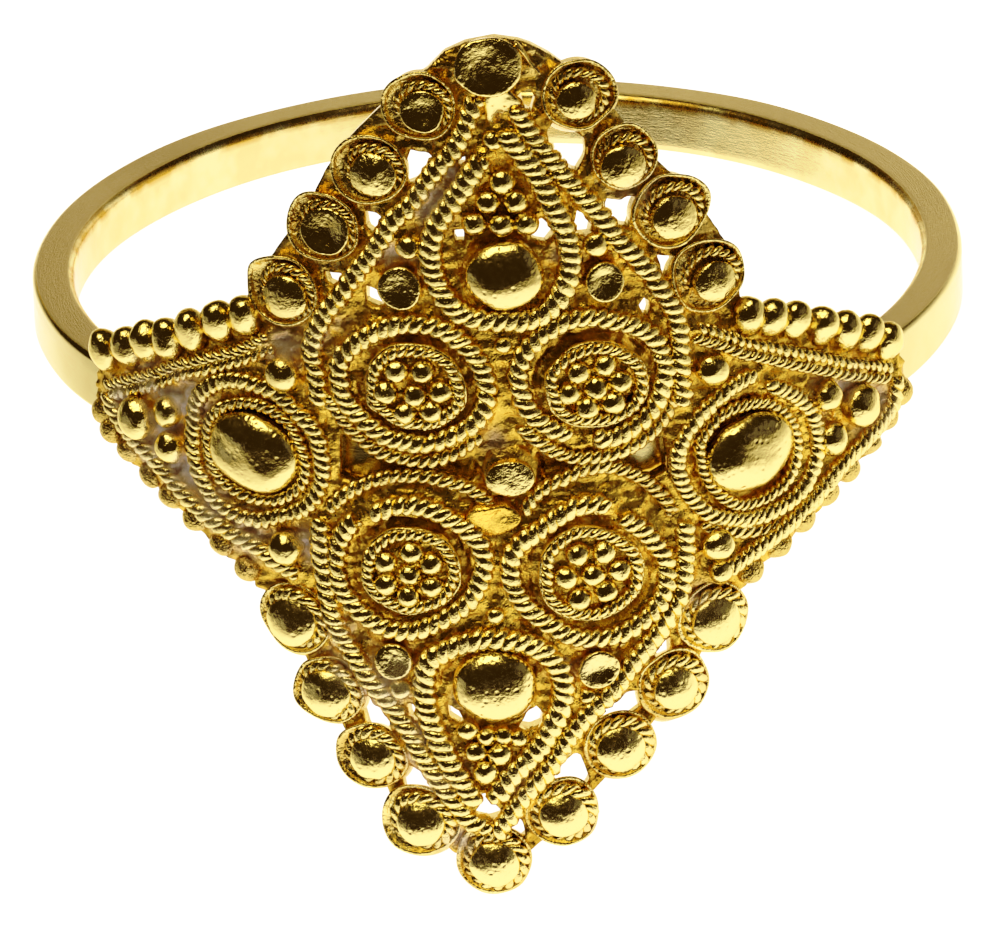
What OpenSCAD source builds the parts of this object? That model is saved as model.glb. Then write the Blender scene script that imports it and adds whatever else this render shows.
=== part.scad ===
// Finger ring with a rhombic filigree bezel wrapped round its front.
// The ring is worked out with its bore upright and its bezel at the front, then leaned as it lies.
// Places on the bezel are [arc, rise]: the arc along the bezel's face and the rise along the finger.

/* [Shank] */
// Diameter of the finger hole
bore_d = 18.2; // [17.8:0.1:18.4]
// Outer diameter of the band
band_d = 20; // [19.8:0.1:20.2]
// Width of the band along the finger
band_w = 1.25; // [1.2:0.05:1.6]
// Rounding of the band's outer edges
band_edge = 0.12; // [0.05:0.01:0.2]

/* [Bezel] */
// Thickness of the pierced plate under the wires
plate_t = 0.4; // [0.35:0.05:0.5]
// Radius of the thick twisted wires
thick_wire_r = 0.25; // [0.22:0.01:0.28]
// Radius of the thin twisted wires
thin_wire_r = 0.15; // [0.12:0.01:0.18]
// Radius of the outer rings of the four rosettes
rosette_r = 1.36; // [1.3:0.01:1.4]
// Radius of the inner rings of the four rosettes
rosette_inner_r = 0.86; // [0.8:0.01:0.9]
// Radius of the thick ring round each side dome
medallion_r = 1.4; // [1.35:0.01:1.45]
// Radius of the wire it is made of
medallion_wire_r = 0.27; // [0.25:0.01:0.28]
// Radius of the thin ring inside it
medallion_inner_r = 1; // [0.98:0.01:1.05]
// Outer radius of the cups along the edges
cup_r = 0.84; // [0.8:0.01:0.88]
// Radius of the flat-topped disc in each cup
cup_disc_r = 0.5; // [0.45:0.01:0.52]
// Height of the cups above the plate
cup_h = 0.5; // [0.4:0.05:0.6]

/* [Pose] */
// Lean of the bezel when the ring lies on its lower tip and the back of the band
lean = 21.6; // [18:0.1:26]
// Roll to one side that it settles in, because its lower tip is off centre
side_lean = 16.4; // [10:0.1:20]

/* [Hidden] */

face_r = band_d / 2 + plate_t;

// How finely round things are cut
band_steps = 60;
dome_sides = 16;
cup_sides = 10;
bead_sides = 10;
gap_sides = 6;
thick_ring_sides = 16;
thin_ring_sides = 12;
rosette_inner_sides = 10;
teardrop_sides = 10;

// Metal left inside the band until it is bored
BORE_STOCK = 0.4;
// How far wires and beads are sunk into the plate under them
SINK = 0.1;
// How far the plate is sunk into the band under it
PLATE_SINK = 0.06;

// Single granules and beads: arc, rise, radius
ROSETTE_BEAD_R = 0.2;
ROSETTE_BEAD_STEP = 0.42;
CENTRE_BEAD = [0.1, 0];
CENTRE_BEAD_R = 0.54;
CENTRE_BEAD_H = 0.35;
COLUMN_BEADS = [[0.05, 2.9, 0.16], [-0.35, -3.2, 0.2]];
TOP_BEADS = [
    [0, 7.35, 0.3],
    [0.1, 6.55, 0.26],
    [-0.15, 6.1, 0.26],
    [0.4, 6.1, 0.26],
    [-0.45, 5.6, 0.26],
    [0.1, 5.6, 0.26],
    [0.65, 5.55, 0.26]
];
BOTTOM_BEADS = [
    [-1, -5.8, 0.26],
    [-0.45, -6.1, 0.26],
    [0, -6.1, 0.26],
    [-0.85, -6.3, 0.26],
    [-0.35, -6.4, 0.26],
    [-0.65, -6.75, 0.26]
];
SIDE_BEADS = [
    [-8.35, 0.2, 0.36],
    [-7.45, 0.55, 0.26],
    [-7.5, -0.25, 0.28],
    [8.1, 0, 0.36],
    [7.2, 0.45, 0.28],
    [7.3, -0.55, 0.3],
    [-4.6, 2, 0.32],
    [-4.7, -1.95, 0.34],
    [4.4, 1.75, 0.32],
    [4.4, -2.2, 0.32]
];
INNER_BEADS = [
    [-2, 4.15, 0.44],
    [-1.8, 5.05, 0.24],
    [2.15, 4.15, 0.42],
    [2, 4.9, 0.22],
    [-2.45, -4.3, 0.42],
    [-2.35, -4.95, 0.2],
    [1.75, -4.55, 0.42],
    [1.5, -5.15, 0.2]
];

// Domes: arc, rise, radius along the arc, radius along the rise
TOP_DOME = [0.15, 4.55, 0.78, 0.7];
BOTTOM_DOME = [-0.45, -4.85, 0.94, 0.86];
LEFT_DOME = [-5.4, 0.05, 0.95, 0.86];
RIGHT_DOME = [5.2, -0.3, 0.95, 0.86];
DOMES = [TOP_DOME, BOTTOM_DOME, LEFT_DOME, RIGHT_DOME];
DOME_H = 0.6;

// Centres of the rosettes: arc, rise
ROSETTES = [[-1.85, 2], [1.9, 1.8], [-2.2, -2.2], [1.65, -2.5]];

// Discs of the cups from the top tip down each edge: arc, rise
TOP_CUP = [-0.05, 9.1];
BOTTOM_CUP = [-0.6, -9.05];
CUPS_UPPER_LEFT = [[-1.4, 8], [-2.6, 6.6], [-3.55, 5.25], [-4.55, 3.75]];
CUPS_UPPER_RIGHT = [[1.75, 8.1], [2.65, 6.7], [3.7, 5.25], [4.5, 3.65]];
CUPS_LOWER_LEFT = [[-4.75, -3.8], [-4, -5.25], [-3.2, -6.7], [-2.15, -8.2]];
CUPS_LOWER_RIGHT = [[4.35, -4.05], [3.5, -5.4], [2.2, -6.65], [0.9, -8.05]];
EDGE_CUPS = concat(
    CUPS_UPPER_LEFT,
    CUPS_UPPER_RIGHT,
    CUPS_LOWER_LEFT,
    CUPS_LOWER_RIGHT,
    [BOTTOM_CUP]
);
// Tilt and size of the large cup at the top tip
TOP_CUP_TILT = 20;
TOP_CUP_SCALE = 1.15;

// Rows of granules on the side corners: first place, last place
EDGE_BEAD_COUNT = 7;
EDGE_BEAD_R = 0.33;
ROW_UPPER_LEFT = [[-9.45, 1.15], [-5.45, 3.05]];
ROW_UPPER_RIGHT = [[9.25, 0.85], [5.3, 2.6]];
ROW_LOWER_LEFT = [[-9.75, -0.35], [-5.65, -2.8]];
ROW_LOWER_RIGHT = [[9.2, -0.85], [5.2, -3.1]];
LEFT_CORNER = [-10.15, 0.45];
RIGHT_CORNER = [9.85, 0.05];

// Pointed oval of thick wire round the middle column: arc, rise
FRAME = [
    [0.15, 7.95],
    [-1.95, 5.5],
    [-3.55, 3.4],
    [-3.95, 0.3],
    [-3.85, -2.5],
    [-2.85, -5.1],
    [-0.7, -8],
    [0.9, -6.6],
    [2.3, -5.2],
    [3.7, -2.6],
    [3.85, -0.3],
    [3.75, 2.6],
    [2.1, 5.6]
];
// Points of the top and bottom teardrops
TOP_APEX = [0.1, 7.75];
BOTTOM_APEX = [-0.6, -7.6];
TOP_TEAR_R = 1.28;
BOTTOM_TEAR_R = 1.38;

// Gaps cut through the plate: arc, rise, half width, half height
GAPS = [
    [-1.5, 6.85, 0.25, 0.3],
    [-0.65, 6.95, 0.14, 0.2],
    [0.75, 8.25, 0.18, 0.2],
    [1.5, 7.2, 0.25, 0.25],
    [-0.8, 5.3, 0.16, 0.2],
    [0.95, 5.4, 0.16, 0.2],
    [1.75, 5.45, 0.18, 0.24],
    [2.6, 5.6, 0.26, 0.26],
    [-2.6, 5.55, 0.2, 0.24],
    [-3.45, 4.25, 0.16, 0.2],
    [-2.55, 3.9, 0.22, 0.16],
    [3.5, 4.2, 0.18, 0.22],
    [3.05, 3.3, 0.14, 0.2],
    [-3.8, -4.05, 0.2, 0.26],
    [-2.95, -5.6, 0.3, 0.3],
    [-2.15, -5.5, 0.2, 0.2],
    [-1.25, -5.5, 0.14, 0.16],
    [-2.05, -7.1, 0.24, 0.3],
    [-0.65, -7.6, 0.14, 0.18],
    [2.35, -4.1, 0.24, 0.18],
    [3.2, -4.45, 0.2, 0.24],
    [2.4, -5.55, 0.26, 0.26],
    [0.3, -5.6, 0.14, 0.16],
    [1.15, -6.9, 0.28, 0.32],
    [-0.1, -8.25, 0.16, 0.24],
    [-3, -0.05, 0.55, 0.45],
    [-0.9, 0, 0.7, 0.5],
    [1.1, -0.3, 0.7, 0.5],
    [2.9, -0.35, 0.55, 0.45]
];

function reversed(list) = [for (i = [len(list) - 1:-1:0]) list[i]];

function place_of(row) = [row[0], row[1]];

// Places spread evenly from the first to the last
function spread(ends, count) =
    [for (i = [0:count - 1]) ends[0] + (ends[1] - ends[0]) * i / (count - 1)];

// Point in space of a place on the bezel, at a height above the plate
function on_face(arc, rise, up) =
    let (turn = arc / face_r * 180 / PI, r = face_r + up)
    [r * sin(turn), -r * cos(turn), rise];

function circle_path(centre, r, count) =
    [for (i = [0:count - 1]) centre + r * [cos(360 * i / count), sin(360 * i / count)]];

// Teardrop round a centre, with straight sides that run on to its point
function teardrop_path(centre, r, apex) =
    let (
        count = teardrop_sides,
        reach = norm(apex - centre),
        heading = atan2(apex[1] - centre[1], apex[0] - centre[0]),
        opening = acos(r / reach),
        sweep = 360 - 2 * opening,
        arc = [
            for (i = [0:count])
                let (turn = heading + opening + sweep * i / count)
                centre + r * [cos(turn), sin(turn)]
        ]
    )
    concat([apex, (apex * 2 + arc[0]) / 3, (apex + arc[0] * 2) / 3], arc,
           [(apex + arc[count] * 2) / 3, (apex * 2 + arc[count]) / 3]);

// Smooth closed path through the points, with a new point half way along each stretch
function smooth_path(points) =
    let (n = len(points))
    [
        for (i = [0:n - 1], t = [0, 0.5])
            let (
                a = points[(i + n - 1) % n],
                b = points[i],
                c = points[(i + 1) % n],
                d = points[(i + 2) % n]
            )
            ((2 * b) + (c - a) * t + (2 * a - 5 * b + 4 * c - d) * t * t
                + (3 * b - a - 3 * c + d) * t * t * t) / 2
    ];

// Sets a shape on the bezel, with its Z pointing away from the finger
module at(place) {
    rotate([0, 0, place[0] / face_r * 180 / PI])
        translate([0, -face_r, place[1]])
            rotate([90, 0, 0])
                children();
}

// Closed wire along a path of places, with its feet sunk into the plate
module closed_wire(path, r) {
    section = [[r, -SINK], [0.6 * r, 1.35 * r], [-0.6 * r, 1.35 * r], [-r, -SINK]];
    n = len(path);
    sides = len(section);
    points = [
        for (i = [0:n - 1])
            let (
                along = path[(i + 1) % n] - path[(i + n - 1) % n],
                across = [along[1], -along[0]] / norm(along)
            )
            for (corner = section)
                on_face(
                    path[i][0] + across[0] * corner[0],
                    path[i][1] + across[1] * corner[0],
                    corner[1]
                )
    ];
    faces = [
        for (i = [0:n - 1], k = [0:sides - 1])
            let (
                a = i * sides + k,
                b = i * sides + (k + 1) % sides,
                c = (i + 1) % n * sides + (k + 1) % sides,
                d = (i + 1) % n * sides + k
            )
            each [[a, b, c], [a, c, d]]
    ];
    color("gold")
        polyhedron(points, faces, convexity = 10);
}

// Granule standing on the plate
module granule(r) {
    color("gold")
        translate([0, 0, -SINK])
            cylinder(r1 = 1.1 * r, r2 = 0.6 * r, h = 1.4 * r + SINK, $fn = bead_sides);
}

// Flat-topped bead in the middle, standing on the band between the rosettes
module centre_bead() {
    foot = plate_t + SINK;
    color("gold")
        translate([0, 0, -foot])
            cylinder(
                r1 = 1.1 * CENTRE_BEAD_R,
                r2 = 0.9 * CENTRE_BEAD_R,
                h = foot + CENTRE_BEAD_H,
                $fn = bead_sides
            );
}

module dome(half_w, half_h) {
    color("gold")
        scale([half_w, half_h, DOME_H])
            sphere(r = 1, $fn = dome_sides);
}

module cup(grow = 1) {
    rim = cup_r * grow;
    disc = cup_disc_r * grow;
    foot = plate_t - SINK;
    color("gold")
        rotate_extrude($fn = cup_sides)
            polygon([
                [0, -foot],
                [rim, -foot],
                [rim, cup_h * 0.6],
                [rim * 0.85, cup_h],
                [disc * 1.05, cup_h * 0.35],
                [disc * 0.9, cup_h],
                [0, cup_h * 1.15]
            ]);
}

// Band before the finger hole is bored
module band_blank() {
    outer = band_d / 2;
    half = band_w / 2;
    inner = bore_d / 2 - BORE_STOCK;
    color("gold")
        rotate_extrude($fn = band_steps)
            polygon([
                [inner, -half],
                [outer - band_edge, -half],
                [outer, -half + band_edge],
                [outer, half - band_edge],
                [outer - band_edge, half],
                [inner, half]
            ]);
}

module bezel_plate() {
    outline = concat(
        [TOP_CUP],
        CUPS_UPPER_RIGHT,
        reversed(spread(ROW_UPPER_RIGHT, EDGE_BEAD_COUNT)),
        [RIGHT_CORNER],
        spread(ROW_LOWER_RIGHT, EDGE_BEAD_COUNT),
        CUPS_LOWER_RIGHT,
        [BOTTOM_CUP],
        reversed(CUPS_LOWER_LEFT),
        reversed(spread(ROW_LOWER_LEFT, EDGE_BEAD_COUNT)),
        [LEFT_CORNER],
        spread(ROW_UPPER_LEFT, EDGE_BEAD_COUNT),
        reversed(CUPS_UPPER_LEFT)
    );
    seen_from_front = [for (p = outline) let (q = on_face(p[0], p[1], 0)) [q[0], q[2]]];
    color("gold")
        difference() {
            intersection() {
                rotate([90, 0, 0])
                    linear_extrude(height = 2 * face_r)
                        polygon(seen_from_front);
                cylinder(r = face_r, h = 3 * face_r, center = true, $fn = band_steps);
            }
            cylinder(r = band_d / 2 - PLATE_SINK, h = 4 * face_r, center = true, $fn = band_steps);
            for (gap = GAPS)
                at(place_of(gap))
                    scale([gap[2], gap[3], 1])
                        cylinder(r = 1, h = 3 * plate_t, center = true, $fn = gap_sides);
        }
}

module rosette(place) {
    closed_wire(circle_path(place, rosette_r, thick_ring_sides), thick_wire_r);
    closed_wire(circle_path(place, rosette_inner_r, rosette_inner_sides), thin_wire_r);
    at(place)
        granule(ROSETTE_BEAD_R);
    for (turn = [0:60:300])
        at(place + ROSETTE_BEAD_STEP * [cos(turn), sin(turn)])
            granule(ROSETTE_BEAD_R);
}

module medallion(dome_row) {
    centre = place_of(dome_row);
    closed_wire(circle_path(centre, medallion_r, thick_ring_sides), medallion_wire_r);
    closed_wire(circle_path(centre, medallion_inner_r, thin_ring_sides), thin_wire_r);
}

module wires() {
    closed_wire(smooth_path(FRAME), thick_wire_r);
    closed_wire(teardrop_path(place_of(TOP_DOME), TOP_TEAR_R, TOP_APEX), thick_wire_r);
    closed_wire(teardrop_path(place_of(BOTTOM_DOME), BOTTOM_TEAR_R, BOTTOM_APEX), thick_wire_r);
    medallion(LEFT_DOME);
    medallion(RIGHT_DOME);
    for (place = ROSETTES)
        rosette(place);
}

module beads() {
    at(CENTRE_BEAD)
        centre_bead();
    for (row = concat(COLUMN_BEADS, TOP_BEADS, BOTTOM_BEADS, SIDE_BEADS, INNER_BEADS))
        at(place_of(row))
            granule(row[2]);
    for (ends = [ROW_UPPER_LEFT, ROW_UPPER_RIGHT, ROW_LOWER_LEFT, ROW_LOWER_RIGHT])
        for (place = spread(ends, EDGE_BEAD_COUNT))
            at(place)
                granule(EDGE_BEAD_R);
    for (row = DOMES)
        at(place_of(row))
            dome(row[2], row[3]);
}

module cups() {
    for (place = EDGE_CUPS)
        at(place)
            cup();
    at(TOP_CUP)
        rotate([TOP_CUP_TILT, 0, 0])
            cup(TOP_CUP_SCALE);
}

// All the metal as one soldered body, with the finger hole bored through it
module ring() {
    rotate([-lean, 0, 0]) rotate([0, side_lean, 0])
        difference() {
            resize([0, 0, 0])
                union() {
                    band_blank();
                    bezel_plate();
                    wires();
                    beads();
                    cups();
                }
            cylinder(d = bore_d, h = 4 * band_w, center = true, $fn = 96);
        }
}

ring();
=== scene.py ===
"""Gold finger ring with a rhombic filigree bezel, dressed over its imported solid.

All the metal is worked out in millimetres with the finger hole upright and the bezel in front, and is
then laid down as the ring lies. A place on the bezel is (arc, rise, lift): the arc along the bezel's
face, the rise along the finger, and the height above the pierced plate.
"""

import bpy
import numpy as np
from mathutils import Matrix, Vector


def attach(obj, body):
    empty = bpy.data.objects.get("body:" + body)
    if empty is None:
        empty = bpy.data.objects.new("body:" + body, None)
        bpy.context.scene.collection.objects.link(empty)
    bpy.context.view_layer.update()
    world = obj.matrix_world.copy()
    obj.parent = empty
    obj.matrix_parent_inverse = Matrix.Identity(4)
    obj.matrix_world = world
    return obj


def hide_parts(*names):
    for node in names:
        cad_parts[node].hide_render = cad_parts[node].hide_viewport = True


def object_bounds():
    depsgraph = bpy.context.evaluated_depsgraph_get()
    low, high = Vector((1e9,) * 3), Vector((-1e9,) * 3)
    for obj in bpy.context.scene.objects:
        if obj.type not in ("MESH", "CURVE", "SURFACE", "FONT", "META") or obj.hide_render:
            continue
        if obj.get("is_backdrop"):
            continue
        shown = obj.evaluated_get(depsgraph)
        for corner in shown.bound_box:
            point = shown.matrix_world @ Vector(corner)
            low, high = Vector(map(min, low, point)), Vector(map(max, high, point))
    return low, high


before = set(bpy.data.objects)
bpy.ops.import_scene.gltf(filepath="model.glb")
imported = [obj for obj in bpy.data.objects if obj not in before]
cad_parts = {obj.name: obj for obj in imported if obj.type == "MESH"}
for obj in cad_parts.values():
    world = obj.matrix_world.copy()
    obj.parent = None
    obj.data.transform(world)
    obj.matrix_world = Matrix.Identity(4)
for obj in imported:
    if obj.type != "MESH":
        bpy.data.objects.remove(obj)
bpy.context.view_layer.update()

# Metres in a millimetre
MM = 0.001

# Shank: radius of the finger hole, outer radius of the band, and its width along the finger
BORE_R = 9.1
BAND_R = 10.0
BAND_W = 1.25

# Pierced plate: radius of its face round the finger, and its thickness
FACE_R = 10.4
PLATE_T = 0.32

# How the ring lies, in degrees: it leans back, and settles to one side
LEAN = 21.6
SIDE_LEAN = 16.4


# Turns and angles

X, Y, Z = range(3)


def about(axis, angle):
    """Matrix of a turn about one axis by an angle in degrees: its cosine at the other two axes' own places,
    and its sine, plus and minus, where they cross."""
    c, s = np.cos(np.radians(angle)), np.sin(np.radians(angle))
    i, j = (axis + 1) % 3, (axis + 2) % 3
    turn = np.eye(3)
    turn[[i, j, j, i], [i, j, i, j]] = c, c, s, -s
    return turn


def all_round(count):
    """Angles that share a whole turn evenly."""
    return 2 * np.pi * np.arange(count) / count


LIE = about(X, -LEAN) @ about(Y, SIDE_LEAN)


def on_face(places):
    """Bends places (arc, rise, lift) round the finger: the arc becomes a turn at the bezel's radius, so a
    place goes to (r sin turn, -r cos turn, rise) with r the face's radius and the lift together."""
    turn = places[..., 0] / FACE_R
    r = FACE_R + places[..., 2]
    return np.stack([r * np.sin(turn), -r * np.cos(turn), places[..., 1]], -1)


# Unevenness of hand work

def ripple(points, amount, size, seed, waves=7):
    """Gentle unevenness, up to about the amount each way: a sum of sine waves of about one length in all
    directions."""
    rng = np.random.default_rng(seed)
    heading = rng.normal(size=(waves, points.shape[-1]))
    heading /= np.linalg.norm(heading, axis=1, keepdims=True)
    pitch = 2 * np.pi / size * rng.uniform(0.6, 1.5, (waves, 1))
    start = rng.uniform(0, 2 * np.pi, waves)
    return amount * (np.sin(points @ (heading * pitch).T + start).sum(-1) / waves**0.5)


def wander(points, amount, size, seed):
    """Unevenness of a place: a ripple along each of its three directions."""
    return np.stack([ripple(points, amount, size, seed + k) for k in range(3)], -1)


# Closed shapes, each as its points, its faces of four corners and its faces of three

def grid_quads(rows, cols, loop_rows, loop_cols):
    """Faces between the neighbours of a grid of points, joined up where a direction is a loop."""
    i = np.arange(rows if loop_rows else rows - 1)[:, None]
    j = np.arange(cols if loop_cols else cols - 1)[None, :]
    below = (i + 1) % rows
    across = (j + 1) % cols
    corners = [i * cols + j, i * cols + across, below * cols + across, below * cols + j]
    return np.stack(corners, -1).reshape(-1, 4)


def outward(points, quads, tris=np.zeros((0, 3), int)):
    """Turns the faces of a closed shape over if it encloses a negative volume, which is a sixth of the
    sum of a . (b x c) over its triangles."""
    corners = np.concatenate([quads[:, [0, 1, 2]], quads[:, [0, 2, 3]], tris])
    a, b, c = (points[corners[:, k]] for k in range(3))
    if np.einsum("ij,ij->i", a, np.cross(b, c)).sum() < 0:
        quads = quads[:, ::-1]
        tris = tris[:, ::-1]
    return points, quads, tris


def looped(rings):
    """Closed shape from a loop of rings of points."""
    rows, cols = rings.shape[:2]
    return outward(rings.reshape(-1, 3), grid_quads(rows, cols, True, True))


def capped(rings, first, last):
    """Closed shape from rings of points, each end drawn together at one point."""
    rows, cols = rings.shape[:2]
    points = np.concatenate([rings.reshape(-1, 3), [first, last]])
    j = np.arange(cols)
    across = (j + 1) % cols
    base = (rows - 1) * cols
    tris = np.concatenate([
        np.stack([across, j, np.full(cols, rows * cols)], -1),
        np.stack([base + j, base + across, np.full(cols, rows * cols + 1)], -1),
    ])
    return outward(points, grid_quads(rows, cols, False, True), tris)


def joined(shapes):
    """Several shapes as one."""
    points, quads, tris = [], [], []
    start = 0
    for p, q, t in shapes:
        points.append(p)
        quads.append(q + start)
        tris.append(t + start)
        start += len(p)
    return np.concatenate(points), np.concatenate(quads), np.concatenate(tris)


# Paths

def smooth_path(points, closed, steps=14):
    """Catmull-Rom curve through the points: from b to c it is the cubic that leaves b along c - a and
    reaches c along d - b."""
    p = np.asarray(points, float)
    if closed:
        a, b, c, d = np.roll(p, 1, 0), p, np.roll(p, -1, 0), np.roll(p, -2, 0)
    else:
        p = np.concatenate([[2 * p[0] - p[1]], p, [2 * p[-1] - p[-2]]])
        a, b, c, d = p[:-3], p[1:-2], p[2:-1], p[3:]
    t = (np.arange(steps) / steps)[None, :, None]
    a, b, c, d = (v[:, None, :] for v in (a, b, c, d))
    square = 2 * a - 5 * b + 4 * c - d
    cube = 3 * b - a - 3 * c + d
    curve = ((2 * b + (c - a) * t + square * t**2 + cube * t**3) / 2).reshape(-1, p.shape[1])
    return curve if closed else np.concatenate([curve, p[-2:-1]])


def evenly(curve, closed, step):
    """The same curve with its points at one even distance, and its length."""
    if closed:
        curve = np.concatenate([curve, curve[:1]])
    run = np.concatenate([[0], np.cumsum(np.linalg.norm(np.diff(curve, axis=0), axis=1))])
    count = max(8, int(round(run[-1] / step)))
    at = np.linspace(0, run[-1], count, endpoint=not closed)
    return np.stack([np.interp(at, run, curve[:, k]) for k in range(curve.shape[1])], -1), run[-1]


def slope(values, closed):
    """Direction of a curve at each of its points."""
    if closed:
        d = np.roll(values, -1, 0) - np.roll(values, 1, 0)
    else:
        d = np.gradient(values, axis=0)
    return d / np.linalg.norm(d, axis=-1, keepdims=True)


def shrunk(path, by):
    """A closed path drawn in towards its middle by a distance."""
    path = np.asarray(path, float)
    out = path - path.mean(0)
    r = np.linalg.norm(out, axis=1, keepdims=True)
    return path.mean(0) + out * (1 - by / r)


def moved_right(path, by):
    """An open path moved towards its right by a distance."""
    path = np.asarray(path, float)
    ahead = slope(path, False)
    return path + by * np.stack([ahead[:, 1], -ahead[:, 0]], -1)


def ring_path(place, r, climb, count=20):
    """Places round a circle on the bezel that climbs towards its upper right: place + r (cos a, sin a),
    at a lift of climb cos(a - 0.8)."""
    a = all_round(count)
    return np.stack([place[0] + r * np.cos(a), place[1] + r * np.sin(a), climb * np.cos(a - 0.8)], -1)


# Wires

# A strand's radius as a share of its wire's, by the number of strands
STRAND_SHARE = {2: 0.5, 3: 0.46}
# A strand is thicker by this factor, so that it runs into the next
STRAND_FULLNESS = 1.06
# Share of what stands above the worn height that is gone
WORN_AWAY = 0.6


def end_taper(share, length, r):
    """Thickness of a strand along an open wire, 1 but for its rounded ends: the root of 1 - (1 - d)^2,
    where d is the distance to the nearer end in radii of the strand."""
    to_end = np.minimum(share, 1 - share) * length / r
    return np.sqrt(np.clip(1 - (1 - np.clip(to_end, 0.02, 1)) ** 2, 0.01, 1))


def strand(core, away, thick, sides, closed):
    """Rings of points round a strand's core: core + thick (cos a n1 + sin a n2), where n1 is the part of
    away that is square to the core, and n2 is square to both."""
    along = slope(core, closed)
    n1 = away - (away * along).sum(-1, keepdims=True) * along
    n1 /= np.linalg.norm(n1, axis=1, keepdims=True)
    n2 = np.cross(along, n1)
    a = all_round(sides)[None, :, None]
    return core[:, None] + thick[:, None, None] * (np.cos(a) * n1[:, None] + np.sin(a) * n2[:, None])


def rope(path, radius, ridge, closed=False, lift=None, sides=8, steps=13, seed=0, worn=0.75,
         strands=2, twist=1):
    """Wire twisted from round strands. A strand's core is spine + (radius - strand_r) (cos p right +
    sin p out), where p starts an even share of a turn from the next strand's and makes one turn in as many
    ridges as there are strands. What stands above the worn height, in radii over the spine, is pressed
    down."""
    path = np.asarray(path, float)
    if path.shape[1] == 2:
        path = np.concatenate([path, np.zeros((len(path), 1))], 1)
    spine, length = evenly(smooth_path(path, closed), closed, strands * ridge / steps)
    spine = spine + wander(spine, amount=0.016, size=1.6, seed=seed)
    spine[:, 2] += radius * 0.75 if lift is None else lift
    n = len(spine)
    ahead = slope(spine, closed)
    right = np.stack([ahead[:, 1], -ahead[:, 0], np.zeros(n)], -1)
    right /= np.linalg.norm(right, axis=1, keepdims=True)
    out = np.cross(right, ahead)
    turns = length / (strands * ridge)
    turns = max(1, round(turns)) if closed else turns
    share = np.arange(n) / (n if closed else n - 1)
    strand_r = radius * STRAND_SHARE[strands]
    top = spine[:, None, 2] + radius * worn
    shapes = []
    for start in all_round(strands):
        slack = ripple(spine, amount=0.35, size=1.4, seed=seed + 9)
        phase = twist * (2 * np.pi * turns * share + slack) + start
        away = np.cos(phase)[:, None] * right + np.sin(phase)[:, None] * out
        core = spine + away * (radius - strand_r)
        swell = ripple(spine, amount=0.07, size=0.5, seed=seed + 5 + int(start))
        thick = strand_r * STRAND_FULLNESS * (1 + swell)
        if not closed:
            thick = thick * end_taper(share, length, strand_r)
        tube = strand(core, away, thick, sides, closed)
        tube[..., 2] -= np.maximum(tube[..., 2] - top, 0) * WORN_AWAY
        rough = wander(tube.reshape(-1, 3), amount=0.055 * radius, size=0.27, seed=seed + 20)
        tube = tube + rough.reshape(tube.shape)
        shapes.append(looped(tube) if closed else capped(tube, core[0], core[-1]))
    return joined(shapes)


def wire(path, radius, lift, closed=True, sides=10, step=0.05, tall=1.0, seed=0):
    """Plain wire: an ellipse carried along the path at one height, radius (cos a right + tall sin a up)."""
    spine, _ = evenly(smooth_path(path, closed), closed, step)
    spine = np.concatenate([spine, np.full((len(spine), 1), lift)], 1)
    spine = spine + wander(spine, amount=0.014, size=0.7, seed=seed)
    ahead = slope(spine[:, :2], closed)
    right = np.stack([ahead[:, 1], -ahead[:, 0], np.zeros(len(spine))], -1)
    up = np.array([0, 0, 1.0])
    a = all_round(sides)[None, :, None]
    thick = radius * (1 + ripple(spine, amount=0.12, size=0.4, seed=seed + 5))[:, None, None]
    tube = spine[:, None] + thick * (np.cos(a) * right[:, None] + tall * np.sin(a) * up)
    return looped(tube) if closed else capped(tube, spine[0], spine[-1])


# Turned shapes

def turned(place, profile, sides, uneven, size, seed, stretch=(1, 1), spin=0, tilt=(0, 0), lean=0.0):
    """Shape turned from a profile of (r, h) that starts and ends on its own axis: (r cos a, r sin a, h),
    then stretched along the arc and the rise, spun about its axis, tilted, leaned up the rise in
    proportion to its lift, and left a little uneven."""
    profile = np.asarray(profile, float)
    a = all_round(sides)
    r, h = profile[1:-1, 0][:, None], profile[1:-1, 1][:, None]
    rings = np.stack([r * np.cos(a) * stretch[0], r * np.sin(a) * stretch[1], h + 0 * a], -1)
    ends = np.array([[0, 0, profile[0, 1]], [0, 0, profile[-1, 1]]])
    pose = (about(X, tilt[0]) @ about(Y, tilt[1]) @ about(Z, spin)).T
    foot = place if len(place) == 3 else (*place, 0.0)
    posed = []
    for values in (rings, ends):
        values = values @ pose
        values[..., 1] += lean * values[..., 2]
        values = values + foot
        posed.append(values + wander(values, uneven, size, seed))
    rings, (first, last) = posed
    return capped(rings, first, last)


def ball_profile(r, height, foot=-0.1, steps=9):
    """Profile of a bead: up from its foot, then round to its top: (r cos t, height (0.42 + 0.58 sin t))."""
    t = np.linspace(-0.35, np.pi / 2, steps)[:-1]
    ball = np.stack([r * np.cos(t), height * (0.42 + 0.58 * np.sin(t))], -1)
    return np.concatenate([[[0, foot], [r * 0.9, foot]], ball, [[0, height]]])


def disc_profile(r, height, foot=-0.1, dish=0.05, soft=0.16):
    """Profile of a flattened bead: an edge rounded by the soft radius, and a top that sinks by the dish
    towards its middle."""
    t = np.linspace(-0.5, np.pi / 2, 8)
    edge = np.stack([r - soft + soft * np.cos(t), height - soft + soft * np.sin(t)], -1)
    flat = np.array([[0.62, -0.25], [0.42, -0.7], [0.2, -0.95], [0, -1]]) * [r, dish] + [0, height]
    return np.concatenate([[[0, foot], [r * 0.86, foot]], edge, flat])


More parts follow.
